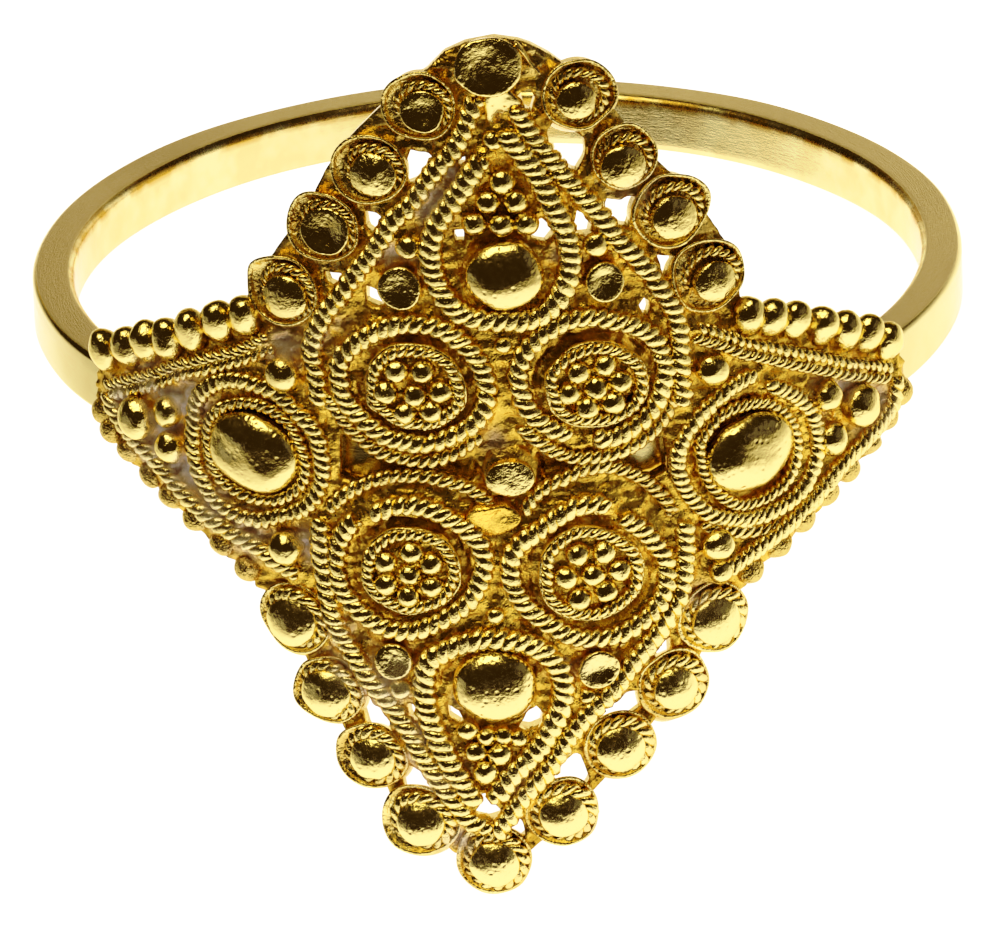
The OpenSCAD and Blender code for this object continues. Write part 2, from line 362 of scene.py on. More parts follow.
def egg_profile(r, height, steps=14):
    """Profile of a whole bead, from its lowest point to its top: (r cos t, height (1 + sin t) / 2)."""
    t = np.linspace(-np.pi / 2, np.pi / 2, steps)
    return np.stack([r * np.cos(t), height / 2 * (1 + np.sin(t))], -1)


def dome_profile(r, height, foot=-0.1):
    """Profile of a dome, which swells a little above its foot and closes in a round crown:
    (r cos(t)^0.85, height (0.36 + 0.64 sin t))."""
    t = np.linspace(-0.45, np.pi / 2, 18)[:-1]
    crown = np.stack([r * np.cos(t) ** 0.85, height * (0.36 + 0.64 * np.sin(t))], -1)
    return np.concatenate([[[0, foot], [r * 0.86, foot]], crown, [[0, height]]])


def cap_profile(r, height, foot=-0.1, crown=0.17):
    """Profile of a cup's bead: an upright edge, a small round rim, and a top that falls from its middle
    by crown (radius / r)^2.2."""
    t = np.array([0.95, 0.85, 0.7, 0.52, 0.33, 0.15])
    top = np.stack([r * t, height - crown * t**2.2], -1)
    rim = np.array([[0.97, 0.22], [1.0, 0.12], [1.0, 0.06], [0.985, 0.02]]) * [r, -1]
    rim = rim + [0, height - crown * 0.92]
    return np.concatenate([[[0, foot], [r * 0.9, foot]], rim, top, [[0, height]]])


def collar_profile(r, rim, floor):
    """Profile of a cup's collar: an upright wall, a soft rim, and a sunk floor inside it."""
    return np.array([
        [0, -0.3], [r * 0.97, -0.3], [r * 1.0, -0.27], [r * 1.01, -0.2], [r * 1.01, rim * 0.3],
        [r * 1.005, rim * 0.7], [r * 0.985, rim * 0.93], [r * 0.95, rim], [r * 0.91, rim * 0.93],
        [r * 0.875, rim * 0.5 + floor * 0.5], [r * 0.8, floor * 1.15], [r * 0.68, floor],
        [r * 0.4, floor], [0, floor],
    ])


# Pieces

# Lifts, for the painted shade of the recesses: where it ends, and how far below that it is darkest; where
# the outer walls end, and how far above that the painted shade begins in full; and likewise for soil, with
# the lowest lift that it reaches
RECESS_TOP = 0.3
RECESS_SPAN = 0.28
WALL_TOP = -0.2
WALL_SPAN = 0.15
SOIL_TOP = 0.42
SOIL_SPAN = 0.3
SOIL_FOOT = -0.25

# Soiled spots on the bezel: arc, rise, radius, amount
SOILED = [
    [-8.0, 0.8, 0.7, 1.0], [-8.0, -0.3, 0.6, 1.0], [-7.1, 0.9, 0.5, 1.0], [-7.1, -0.7, 0.5, 0.9],
    [-6.4, -1.4, 0.4, 0.8], [-1.0, 6.6, 0.35, 1.0], [-1.35, 6.0, 0.35, 1.0], [-2.0, 4.8, 0.4, 0.5],
    [-3.3, -4.6, 0.4, 1.0], [-2.6, -5.0, 0.4, 1.0], [-2.1, -6.1, 0.4, 1.0], [-1.6, -7.0, 0.4, 1.0],
    [-1.3, -8.4, 0.35, 0.4], [-2.2, -4.6, 0.35, 0.9], [-3.7, 3.0, 0.4, 0.8], [-4.6, 2.5, 0.4, 0.5],
    [7.6, 0.4, 0.5, 0.6], [8.6, -0.4, 0.5, 0.5], [-0.9, -5.2, 0.3, 0.6], [1.2, -4.3, 0.4, 0.5],
    [0.0, -7.0, 0.35, 0.6], [-4.2, -1.9, 0.4, 0.8], [3.9, -3.6, 0.4, 0.4], [1.3, 4.6, 0.3, 0.5],
    [-0.2, 0.7, 0.3, 0.15], [-8.9, 0.5, 0.4, 0.8], [-5.6, -1.9, 0.5, 0.5], [-3.7, -3.9, 0.4, 0.9],
    [1.9, -8.6, 0.4, 0.5], [2.9, 6.1, 0.4, 0.4],
]


def bezel_marks(points):
    """Marks for the gold: painted shade on places that lie low between their neighbours, and how much soil
    a place holds, which is a sum of bells amount exp(-(d / r)^2) round the soiled spots. A low place on the
    front takes painted shade and soil, and the outer walls below the plate's face take neither."""
    lift = points[:, 2]
    # Painted shade: a darker colour laid on places that lie low between their neighbours
    painted_shade = np.clip((RECESS_TOP - lift) / RECESS_SPAN, 0, 1) * np.clip((lift - WALL_TOP) / WALL_SPAN, 0, 1)
    soil = np.zeros(len(points))
    for arc, rise, r, amount in SOILED:
        away = np.linalg.norm(points[:, :2] - [arc, rise], axis=1)
        soil += amount * np.exp(-(away / r) ** 2)
    reach = np.clip((SOIL_TOP - lift) / SOIL_SPAN, 0, 1) * (lift > SOIL_FOOT)
    return {"painted_shade": painted_shade, "soil": np.clip(soil, 0, 1) * reach}


def added(name, data):
    """Puts a mesh, a camera or a light into the scene as an object."""
    made = bpy.data.objects.new(name, data)
    bpy.context.scene.collection.objects.link(made)
    return made


def placed(made, axes, spot):
    """Moves an object to a spot and turns its three axes to the columns given."""
    made.matrix_world = Matrix([[*axes[k], spot[k]] for k in range(3)] + [[0, 0, 0, 1]])


def piece(name, shape, marks, material):
    """Makes a mesh piece, laid down as the ring lies, and lets it ride on the ring."""
    points, quads, tris = shape
    mesh = bpy.data.meshes.new(name)
    mesh.from_pydata((points @ LIE.T * MM).tolist(), [], quads.tolist() + tris.tolist())
    for key, values in marks.items():
        layer = mesh.attributes.new(key, "FLOAT", "POINT")
        layer.data.foreach_set("value", np.asarray(values, np.float32))
    mesh.polygons.foreach_set("use_smooth", np.ones(len(mesh.polygons), bool))
    mesh.materials.append(material)
    mesh.update()
    made = added(name, mesh)
    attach(made, "root")
    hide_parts("ring")
    return made


def bezel_piece(name, shape, material):
    """Makes a piece of the bezel from a shape in (arc, rise, lift)."""
    points, quads, tris = shape
    return piece(name, (on_face(points), quads, tris), bezel_marks(points), material)


# Materials

GOLD_TONE = (0.95, 0.72, 0.22, 1)
PLATE_TONE = (0.95, 0.56, 0.07, 1)
SHEET_TONE = (0.86, 0.6, 0.15, 1)
# Darker tone of the lower rim granules: painted shade
SHADED_RIM_TONE = (0.7, 0.47, 0.11, 1)
SHANK_TONE = (0.82, 0.66, 0.25, 1)
# Painted shade: the darker colour that recesses and the shank's bore take, with a painted dark reflection
# along the bore's upper edge
PAINTED_SHADE_TONE = (0.52, 0.28, 0.03, 1)
SOIL_TONE = (0.82, 0.76, 0.78, 1)
SATIN_TONE = (0.6, 0.44, 0.14, 1)
# Tints of what the gold mirrors at a flat angle
EDGE_TINT = (1.0, 0.9, 0.6, 1)
BRUSHED_EDGE_TINT = (1.0, 0.91, 0.7, 1)

# Noises: waves in a metre, or for the strokes in a millimetre of the stretched band; detail; roughness
GRAIN = (11000, 3, 0.6)
PATCHES = (1300, 2.5, 0.55)
LUMPS = (4200, 3, 0.65)
STROKES = (1.6, 6, 0.7)
SAND = (16000, 2, 0.6)
PITS_SCALE = 5500
# Values of the noise between which the patches turn to specks, and between which the grain dulls the gold
SPECK_RANGE = (0.37, 0.6)
GRAIN_RANGE = (0.3, 0.7)
# Share of a pit's cell that is hollow
PIT_WIDTH = 0.35

# Height of the relief of each, in metres
GRAIN_DEPTH = 0.00003
LUMP_DEPTH = 0.00016
PIT_DEPTH = 0.00001
STROKE_DEPTH = 0.00006
SAND_DEPTH = 0.00002

# Strokes of the brush: how the band is stretched to draw them out, their slant in radians, their strength
# on the polished faces, and what the satin walls add to it
STROKE_STRETCH = (2.4, 13.0, 1.0)
STROKE_SLANT = (0, 0, 0.5)
STROKE_STRENGTH = 0.12
SATIN_STROKES = 0.8
SAND_STRENGTH = 0.7

# Roughness that recesses, soil and a satin finish add
RECESS_DULLING = 0.12
SOIL_DULLING = 0.4
SATIN_DULLING = 0.26


def node(tree, kind, inputs, settings=None):
    """Adds a node. Each input, by its name or number, takes a value or a link."""
    made = tree.nodes.new("ShaderNode" + kind)
    for name, value in (settings or {}).items():
        setattr(made, name, value)
    for name, value in inputs.items():
        if isinstance(value, bpy.types.NodeSocket):
            tree.links.new(value, made.inputs[name])
        else:
            made.inputs[name].default_value = value
    return made


def mark(tree, name):
    """Value of one of the marks on a piece."""
    return node(tree, "Attribute", {}, {"attribute_name": name}).outputs["Fac"]


def worked_out(tree, operation, *values, clamp=False):
    """Result of one operation on values or links."""
    settings = {"operation": operation, "use_clamp": clamp}
    return node(tree, "Math", dict(enumerate(values)), settings).outputs[0]


def between(tree, value, low, high, to_low=0.0, to_high=1.0):
    """The value carried over from one range to another."""
    span = {"Value": value, "From Min": low, "From Max": high, "To Min": to_low, "To Max": to_high}
    return node(tree, "MapRange", span).outputs["Result"]


def mixed(tree, share, first, second):
    """Colour that goes from the first to the second as the share grows."""
    return node(tree, "Mix", {0: share, 6: first, 7: second}, {"data_type": "RGBA"}).outputs[2]


def noise(tree, place, scale, detail, roughness):
    """Value of a noise."""
    look = {"Vector": place, "Scale": scale, "Detail": detail, "Roughness": roughness}
    return node(tree, "TexNoise", look).outputs["Fac"]


def relief(tree, height, depth, strength, normal):
    """Normal of a surface with relief on it."""
    look = {"Height": height, "Distance": depth, "Strength": strength, "Normal": normal}
    return node(tree, "Bump", look).outputs["Normal"]


def hammered(tree, place, normal, lumps, pits):
    """Normal with the lumps and the small round pits of worked metal."""
    if lumps:
        normal = relief(tree, noise(tree, place, *LUMPS), LUMP_DEPTH, lumps, normal)
    if pits:
        cells = node(tree, "TexVoronoi", {"Vector": place, "Scale": PITS_SCALE, "Randomness": 1.0})
        hollow = between(tree, cells.outputs["Distance"], 0.0, PIT_WIDTH)
        normal = relief(tree, hollow, PIT_DEPTH, pits, normal)
    return normal


def brushed_finish(tree, place, colour, rough, normal):
    """The finish with strokes of a brush over it, and greyer, sanded side walls."""
    satin = mark(tree, "satin")
    band = node(tree, "CombineXYZ", {"X": mark(tree, "around"), "Y": mark(tree, "across")}).outputs[0]
    drawn = {"Vector": band, "Scale": STROKE_STRETCH, "Rotation": STROKE_SLANT}
    strokes = noise(tree, node(tree, "Mapping", drawn).outputs[0], *STROKES)
    stroke_strength = worked_out(tree, "MULTIPLY_ADD", satin, SATIN_STROKES, STROKE_STRENGTH)
    normal = relief(tree, strokes, STROKE_DEPTH, stroke_strength, normal)
    sand_strength = worked_out(tree, "MULTIPLY", satin, SAND_STRENGTH)
    normal = relief(tree, noise(tree, place, *SAND), SAND_DEPTH, sand_strength, normal)
    colour = mixed(tree, satin, colour, SATIN_TONE)
    rough = worked_out(tree, "MULTIPLY_ADD", satin, SATIN_DULLING, rough, clamp=True)
    return colour, rough, normal


def worked_gold(name, polish, grain, lumps=0.0, pits=0.0, tone=GOLD_TONE, brushed=False):
    """Gold with fine grain, painted shade in a darker colour and less polish in its recesses, and soil
    where it is marked.
    """
    material = bpy.data.materials.new(name)
    material.use_nodes = True
    tree = material.node_tree
    tree.nodes.clear()
    place = node(tree, "TexCoord", {}).outputs["Object"]
    painted_shade = mark(tree, "painted_shade")
    fine = noise(tree, place, *GRAIN)
    specks = between(tree, noise(tree, place, *PATCHES), *SPECK_RANGE)
    dirt = worked_out(tree, "MULTIPLY", specks, mark(tree, "soil"), clamp=True)
    # Painted shade: the marked places take the darker colour in patches
    shaded_share = worked_out(tree, "MULTIPLY", painted_shade, specks, clamp=True)
    colour = mixed(tree, dirt, mixed(tree, shaded_share, tone, PAINTED_SHADE_TONE), SOIL_TONE)
    metal = worked_out(tree, "SUBTRACT", 1.0, dirt)
    rough = between(tree, fine, *GRAIN_RANGE, to_low=polish * 0.6, to_high=polish * 1.4)
    rough = worked_out(tree, "MULTIPLY_ADD", painted_shade, RECESS_DULLING, rough, clamp=True)
    rough = worked_out(tree, "MULTIPLY_ADD", dirt, SOIL_DULLING, rough)
    fine_bump = {"Height": fine, "Distance": GRAIN_DEPTH, "Strength": grain}
    normal = hammered(tree, place, node(tree, "Bump", fine_bump).outputs["Normal"], lumps, pits)
    if brushed:
        colour, rough, normal = brushed_finish(tree, place, colour, rough, normal)
    gold = node(tree, "BsdfPrincipled", {
        "Base Color": colour, "Metallic": metal, "Roughness": rough, "Normal": normal,
        "Specular Tint": BRUSHED_EDGE_TINT if brushed else EDGE_TINT,
    })
    node(tree, "OutputMaterial", {"Surface": gold.outputs[0]})
    return material


wire_gold = worked_gold("twisted_wire_gold", 0.14, 0.6, lumps=0.22)
bead_gold = worked_gold("granule_gold", 0.14, 0.4, lumps=0.16)
dome_gold = worked_gold("dome_gold", 0.18, 0.15, lumps=0.12, pits=1.0)
cap_gold = worked_gold("cap_gold", 0.21, 0.3, lumps=0.14, pits=1.0)
disc_gold = worked_gold("disc_gold", 0.15, 0.4, lumps=0.26, pits=1.0)
cup_gold = worked_gold("cup_gold", 0.15, 0.5, lumps=0.4)
# The lower rim granules take a darker tone as painted shade
shaded_rim_gold = worked_gold("shaded_rim_granule_gold", 0.2, 0.8, lumps=0.7, tone=SHADED_RIM_TONE)
plate_gold = worked_gold("plate_gold", 0.22, 0.5, lumps=0.42, tone=PLATE_TONE)
sheet_gold = worked_gold("sheet_gold", 0.16, 0.35, lumps=0.3, tone=SHEET_TONE)
shank_gold = worked_gold("shank_gold", 0.13, 0.06, tone=SHANK_TONE, brushed=True)


# Shank

# Steps round it, and radii of its outer and inner corners
SHANK_STEPS = 360
OUTER_CORNER = 0.13
INNER_CORNER = 0.2
# Darkening of the outer face and of the side walls, a painted dark reflection on the bore, and what the
# bore's upper edge adds to it
FACE_DARKENING = 0.12
WALL_DARKENING = 0.2
BORE_PAINTED_REFLECTION = 0.25
EDGE_PAINTED_REFLECTION = 0.9
# How far in from the upper edge the painted dark reflection is strongest, and how far it spreads
EDGE_INSET = 0.12


def shank_section():
    """Outline of the band's section as (radius, rise): a rectangle with its corners rounded."""
    half = BAND_W / 2
    t = np.linspace(0, np.pi / 2, 8)
    corner = np.stack([np.cos(t), np.sin(t)], -1)
    outer_r, outer_rise = BAND_R - OUTER_CORNER, half - OUTER_CORNER
    inner_r, inner_rise = BORE_R + INNER_CORNER, half - INNER_CORNER
    return np.concatenate([
        [outer_r, outer_rise] + OUTER_CORNER * corner,
        [[BAND_R - 0.3, half], [BAND_R - 0.6, half]],
        [inner_r, inner_rise] + INNER_CORNER * corner[::-1] * [-1, 1],
        [[BORE_R, half * 0.5], [BORE_R, 0], [BORE_R, -half * 0.5]],
        [inner_r, -inner_rise] + INNER_CORNER * corner * [-1, -1],
        [[BAND_R - 0.6, -half], [BAND_R - 0.3, -half]],
        [outer_r, -outer_rise] + OUTER_CORNER * corner[::-1] * [1, -1],
        [[BAND_R, -half * 0.4], [BAND_R, 0], [BAND_R, half * 0.4]],
    ])


def shank_marks(section, turn):
    """Marks of the band: how far a place lies round it and across its section, whether it is on a satin
    side wall, and how much
    darker it is: a little on the face and side walls, and a painted dark reflection on the bore, most in a
    bell along its upper edge."""
    r, rise = section.T
    ones = np.ones((len(turn), 1))
    half = BAND_W / 2
    steps = np.linalg.norm(np.diff(section, axis=0, prepend=section[:1]), axis=1)
    wall = np.abs(rise) > half * 0.98
    # Painted dark reflection on the bore, most in a bell along its upper edge
    upper_edge = np.exp(-((rise - half + EDGE_INSET) / EDGE_INSET) ** 2)
    darkening = np.where(r < BORE_R + 0.25, BORE_PAINTED_REFLECTION + EDGE_PAINTED_REFLECTION * upper_edge, FACE_DARKENING)
    return {
        "around": (turn[:, None] * r).ravel(),
        "across": (ones * np.cumsum(steps)).ravel(),
        "satin": (ones * wall).ravel(),
        "painted_shade": (ones * np.where(wall, WALL_DARKENING, darkening)).ravel(),
    }


def shank():
    """Plain band: its section (r, rise) carried round the finger hole, to (r sin turn, r cos turn, rise),
    and worn a little uneven."""
    section = shank_section()
    turn = np.pi + all_round(SHANK_STEPS)
    r = section[:, 0] * np.ones((SHANK_STEPS, 1))
    rise = section[:, 1] * np.ones((SHANK_STEPS, 1))
    points = np.stack([r * np.sin(turn)[:, None], r * np.cos(turn)[:, None], rise], -1)
    wear = ripple(points.reshape(-1, 3), amount=0.015, size=5.0, seed=3).reshape(r.shape)
    points[..., :2] *= (1 + wear * (r > BAND_R - 0.2) / BAND_R)[..., None]
    points[..., 2] += ripple(points.reshape(-1, 3), amount=0.012, size=6.0, seed=4).reshape(r.shape)
    return looped(points), shank_marks(section, turn)


band, band_marks = shank()
piece("shank", band, band_marks, shank_gold)


# Paths of the wires, as places (arc, rise)

FRAME_TOP_LEFT = [
    [-3.8, 1.4], [-3.85, 2.15], [-3.95, 2.55], [-3.85, 3.0], [-3.55, 3.5], [-3.3, 3.85], [-3.05, 4.25],
    [-2.8, 4.6], [-2.55, 4.9], [-2.3, 5.3], [-2.05, 5.7], [-1.75, 6.0], [-1.45, 6.4], [-1.1, 6.85],
    [-0.85, 7.15], [-0.65, 7.5], [-0.5, 7.85], [-0.4, 8.15], [-0.3, 8.4],
]
FRAME_TOP_RIGHT = [
    [0.45, 8.1], [0.6, 7.85], [0.75, 7.55], [0.95, 7.2], [1.25, 6.8], [1.55, 6.35], [1.8, 6.0],
    [2.05, 5.65], [2.3, 5.25], [2.55, 4.9], [3.0, 4.3], [3.25, 3.95], [3.5, 3.5], [3.65, 3.1],
    [3.7, 2.55], [3.7, 1.85], [3.75, 1.1],
]
FRAME_BOTTOM = [
    [-3.95, -1.2], [-3.95, -1.85], [-3.9, -2.5], [-3.8, -3.1], [-3.65, -3.65], [-3.4, -4.1],
    [-3.1, -4.55], [-2.8, -5.0], [-2.5, -5.45], [-2.2, -5.95], [-1.95, -6.45], [-1.7, -6.9],
    [-1.45, -7.3], [-1.2, -7.7], [-0.95, -7.95], [-0.6, -8.05],
]
FRAME_RIGHT = [
    [3.65, -1.5], [3.7, -2.15], [3.65, -2.75], [3.5, -3.25], [3.2, -3.7], [2.85, -4.15], [2.5, -4.55],
    [2.15, -5.0], [1.8, -5.35], [1.45, -5.7], [1.1, -6.1], [0.8, -6.55], [0.5, -6.95], [0.15, -7.35],
    [-0.1, -7.7], [-0.35, -8.05], [-0.5, -8.3],
]
TEAR_TOP = [
    [0.25, 7.65], [0.4, 7.3], [0.6, 7.05], [0.8, 6.75], [0.95, 6.45], [1.05, 6.15], [1.2, 5.8],
    [1.35, 5.4], [1.45, 4.95], [1.45, 4.45], [1.35, 4.1], [1.1, 3.7], [0.65, 3.45], [0.15, 3.4],
    [-0.3, 3.45], [-0.7, 3.6], [-1.05, 3.95], [-1.3, 4.5], [-1.35, 5.05], [-1.2, 5.6], [-0.9, 6.05],
    [-0.65, 6.4], [-0.4, 6.75], [-0.2, 7.05],
]
TEAR_BOTTOM = [
    [-0.85, -7.5], [-1.15, -7.05], [-1.4, -6.6], [-1.6, -6.1], [-1.75, -5.65], [-1.85, -5.2],
    [-1.85, -4.75], [-1.7, -4.25], [-1.35, -4.0], [-0.9, -3.8], [-0.35, -3.75], [0.15, -3.85],
    [0.6, -4.1], [0.9, -4.45], [1.0, -4.85], [0.95, -5.35], [0.75, -5.8], [0.5, -6.25], [0.15, -6.65],
    [-0.2, -7.05], [-0.45, -7.5],
]
MEDALLION_LEFT = [
    [-6.85, 0.4], [-6.75, 0.95], [-6.4, 1.35], [-5.85, 1.6], [-5.3, 1.65], [-4.75, 1.5], [-4.35, 1.2],
    [-4.0, 0.85], [-3.85, 0.35], [-3.85, -0.25], [-4.05, -0.75], [-4.4, -1.1], [-4.85, -1.3],
    [-5.4, -1.45], [-5.95, -1.4], [-6.4, -1.15], [-6.7, -0.75], [-6.9, -0.2],
]
MEDALLION_LEFT_IN = [
    [-6.5, 0.2], [-6.4, 0.65], [-6.05, 1.0], [-5.5, 1.2], [-5.0, 1.15], [-4.55, 0.85], [-4.3, 0.4],
    [-4.2, -0.1], [-4.4, -0.6], [-4.9, -0.9], [-5.5, -0.95], [-6.1, -0.75], [-6.4, -0.35],
]
MEDALLION_RIGHT = [
    [5.4, 1.4], [4.75, 1.2], [4.35, 0.95], [4.05, 0.7], [3.8, 0.4], [3.6, -0.1], [3.65, -0.65],
    [3.95, -1.2], [4.4, -1.6], [5.05, -1.8], [5.7, -1.8], [6.3, -1.6], [6.7, -1.3], [6.9, -0.8],
    [6.9, -0.3], [6.75, 0.2], [6.35, 0.65], [5.85, 1.0], [5.7, 1.15],
]
MEDALLION_RIGHT_IN = [
    [4.1, 0.05], [4.3, 0.4], [4.6, 0.65], [5.1, 0.75], [5.65, 0.65], [6.1, 0.3], [6.35, -0.2],
    [6.35, -0.75], [6.1, -1.2], [5.6, -1.45], [4.95, -1.45], [4.5, -1.15], [4.2, -0.65],
]
SIDE_WIRES = {
    "upper_left": [
        [-9.35, 0.5], [-8.5, 0.9], [-7.85, 1.2], [-7.2, 1.55], [-6.6, 1.8], [-6.05, 2.05], [-5.5, 2.3],
        [-4.85, 2.65],
    ],
    "lower_left": [
        [-9.35, 0.45], [-9.2, 0.15], [-8.75, -0.25], [-8.25, -0.5], [-7.8, -0.8], [-7.3, -1.15],
        [-6.85, -1.45], [-6.4, -1.7], [-5.95, -1.9], [-5.4, -2.1], [-4.9, -2.35], [-4.45, -2.55],
    ],
    "upper_right": [
        [4.05, 2.65], [4.65, 2.35], [5.3, 2.0], [5.95, 1.7], [6.7, 1.35], [7.4, 1.0], [8.2, 0.65],
        [9.15, 0.25],
    ],
    "lower_right": [
        [9.3, 0.1], [9.2, -0.4], [8.8, -0.7], [8.25, -0.95], [7.75, -1.2], [7.25, -1.5], [6.8, -1.8],
        [6.3, -2.05], [5.85, -2.3], [5.4, -2.5], [5.0, -2.7], [4.55, -2.85],
    ],
}
ROSETTE_WIRES = {
    "upper_left": [
        [-3.35, 1.95], [-3.35, 2.35], [-3.15, 2.7], [-2.8, 3.0], [-2.35, 3.25], [-1.85, 3.35],
        [-1.35, 3.3], [-0.95, 3.1], [-0.65, 2.8], [-0.45, 2.45], [-0.35, 2.05], [-0.35, 1.65],
        [-0.5, 1.3], [-0.75, 1.05], [-1.1, 0.85], [-1.5, 0.7], [-2.0, 0.7], [-2.4, 0.8], [-2.8, 1.05],
        [-3.1, 1.35], [-3.3, 1.65],
    ],
    "upper_right": [
        [1.35, 0.75], [1.0, 0.9], [0.7, 1.15], [0.45, 1.5], [0.35, 1.95], [0.35, 2.3], [0.5, 2.65],
        [0.75, 2.95], [1.05, 3.15], [1.4, 3.3], [1.85, 3.35], [2.35, 3.2], [2.8, 3.0], [3.15, 2.7],
        [3.3, 2.35], [3.4, 1.95], [3.3, 1.6], [3.15, 1.25], [2.9, 0.95], [2.6, 0.75], [2.2, 0.6],
        [1.8, 0.65],
    ],
    "lower_left": [
        [-3.15, -1.1], [-3.4, -1.45], [-3.55, -1.8], [-3.6, -2.25], [-3.55, -2.65], [-3.35, -3.0],
        [-3.05, -3.3], [-2.7, -3.5], [-2.25, -3.6], [-1.75, -3.5], [-1.35, -3.3], [-1.0, -3.05],
        [-0.7, -2.7], [-0.55, -2.3], [-0.5, -1.95], [-0.6, -1.6], [-0.85, -1.25], [-1.2, -1.0],
        [-1.6, -0.8], [-2.05, -0.75], [-2.4, -0.8], [-2.8, -1.0],
    ],
    "lower_right": [
        [2.1, -0.95], [1.7, -0.85], [1.3, -0.9], [0.95, -1.1], [0.6, -1.35], [0.25, -1.6], [0.05, -1.9],
        [0.0, -2.25], [0.05, -2.6], [0.25, -3.0], [0.6, -3.35], [1.0, -3.65], [1.4, -3.85],
        [1.85, -3.9], [2.25, -3.85], [2.65, -3.65], [3.0, -3.35], [3.2, -3.0], [3.25, -2.55],
        [3.15, -2.15], [2.95, -1.8], [2.65, -1.45], [2.3, -1.25],
    ],
}
ROSETTE_INNER = {
    "upper_left": [
        [-2.75, 1.9], [-2.7, 2.3], [-2.5, 2.6], [-2.2, 2.8], [-1.8, 2.85], [-1.45, 2.8], [-1.1, 2.6],
        [-0.9, 2.3], [-0.8, 1.95], [-0.8, 1.6], [-1.0, 1.35], [-1.35, 1.1], [-1.75, 1.05], [-2.15, 1.1],
        [-2.45, 1.3], [-2.7, 1.55],
    ],
    "upper_right": [
        [0.9, 1.9], [0.95, 2.2], [1.15, 2.45], [1.45, 2.65], [1.8, 2.75], [2.2, 2.7], [2.55, 2.5],
        [2.8, 2.25], [2.95, 1.9], [2.9, 1.55], [2.75, 1.25], [2.45, 1.05], [2.15, 0.95], [1.75, 0.95],
        [1.35, 1.05], [1.05, 1.3], [0.95, 1.6],
    ],
    "lower_left": [
        [-3.0, -2.25], [-2.95, -1.9], [-2.75, -1.6], [-2.4, -1.35], [-2.05, -1.3], [-1.7, -1.35],
        [-1.35, -1.5], [-1.15, -1.8], [-1.05, -2.15], [-1.1, -2.5], [-1.3, -2.85], [-1.65, -3.05],
        [-2.1, -3.15], [-2.45, -3.05], [-2.8, -2.85], [-3.0, -2.55],
    ],
    "lower_right": [
        [0.65, -2.35], [0.7, -1.95], [0.95, -1.6], [1.3, -1.4], [1.7, -1.4], [2.15, -1.55],
        [2.5, -1.85], [2.7, -2.25], [2.7, -2.7], [2.55, -3.0], [2.25, -3.25], [1.85, -3.4],
        [1.45, -3.4], [1.05, -3.25], [0.75, -2.95], [0.65, -2.6],
    ],
}
ROW_WIRES = [
    [[-3.75, 1.6], [-3.45, 1.25], [-3.3, 1.0], [-3.0, 0.7], [-2.6, 0.45], [-2.2, 0.3], [-1.7, 0.25],
     [-1.25, 0.35], [-0.85, 0.55], [-0.5, 0.85]],
    [[0.3, 1.0], [0.65, 0.65], [1.1, 0.35], [1.65, 0.2], [2.2, 0.2], [2.7, 0.35], [3.1, 0.6],
     [3.4, 0.9], [3.6, 1.3]],
    [[-3.75, -1.05], [-3.45, -0.7], [-3.05, -0.4], [-2.65, -0.2], [-2.2, -0.1], [-1.7, -0.1],
     [-1.25, -0.2], [-0.85, -0.35], [-0.5, -0.6], [-0.25, -0.95]],
    [[0.3, -0.95], [0.7, -0.5], [1.25, -0.25], [1.65, -0.1], [2.1, -0.1], [2.6, -0.3], [2.95, -0.55],
     [3.25, -0.9], [3.5, -1.35]],
    [[4.1, -1.7], [4.4, -1.9], [4.75, -2.0], [5.3, -2.15], [5.9, -2.15], [6.4, -2.0], [6.7, -1.7]],
]


# Twisted wires

# Radius, and distance from one ridge of the twist to the next
FRAME_WIRE = (0.235, 0.235)
TEAR_WIRE = (0.265, 0.235)
ROSETTE_INNER_WIRE = (0.145, 0.185)
ROW_WIRE = (0.18, 0.21)
# Radii of the wires whose ridges differ from side to side
MEDALLION_WIRE_R = 0.205
MEDALLION_INNER_R = 0.15
UPPER_SIDE_WIRE_R = 0.15
LOWER_SIDE_WIRE_R = 0.21
# The upper side wires are pairs, twisted opposite ways and each this far from the middle
PAIR_SHIFT = 0.12

bezel_piece("frame_wires", joined([
    rope(FRAME_TOP_LEFT, *FRAME_WIRE, seed=11),
    rope(FRAME_TOP_RIGHT, *FRAME_WIRE, seed=14),
    rope(FRAME_BOTTOM, *FRAME_WIRE, seed=12),
    rope(FRAME_RIGHT, *FRAME_WIRE, seed=13),
]), wire_gold)
bezel_piece("teardrop_wires", joined([
    rope(TEAR_TOP, *TEAR_WIRE, seed=21),
    rope(TEAR_BOTTOM, *TEAR_WIRE, seed=22),
]), wire_gold)
bezel_piece("medallion_wires", joined([
    rope(MEDALLION_LEFT, MEDALLION_WIRE_R, 0.2, closed=True, seed=31),
    rope(MEDALLION_LEFT_IN, MEDALLION_INNER_R, 0.19, lift=0.16, closed=True, sides=7, seed=32),
    rope(MEDALLION_RIGHT, MEDALLION_WIRE_R, 0.18, seed=33),
    rope(MEDALLION_RIGHT_IN, MEDALLION_INNER_R, 0.17, lift=0.16, closed=True, sides=7, seed=34),
]), wire_gold)
bezel_piece("upper_side_wires", joined([
    rope(moved_right(SIDE_WIRES[corner], PAIR_SHIFT * twist), UPPER_SIDE_WIRE_R, ridge, lift=0.14, worn=0.9,
         twist=twist, seed=seed + twist)
    for corner, ridge, seed in (("upper_left", 0.22, 41), ("upper_right", 0.2, 43)) for twist in (1, -1)
]), wire_gold)
bezel_piece("lower_side_wires", joined([
    rope(SIDE_WIRES[corner], LOWER_SIDE_WIRE_R, ridge, steps=16, strands=3, seed=seed)
    for corner, ridge, seed in (("lower_left", 0.22, 42), ("lower_right", 0.18, 44))
]), wire_gold)
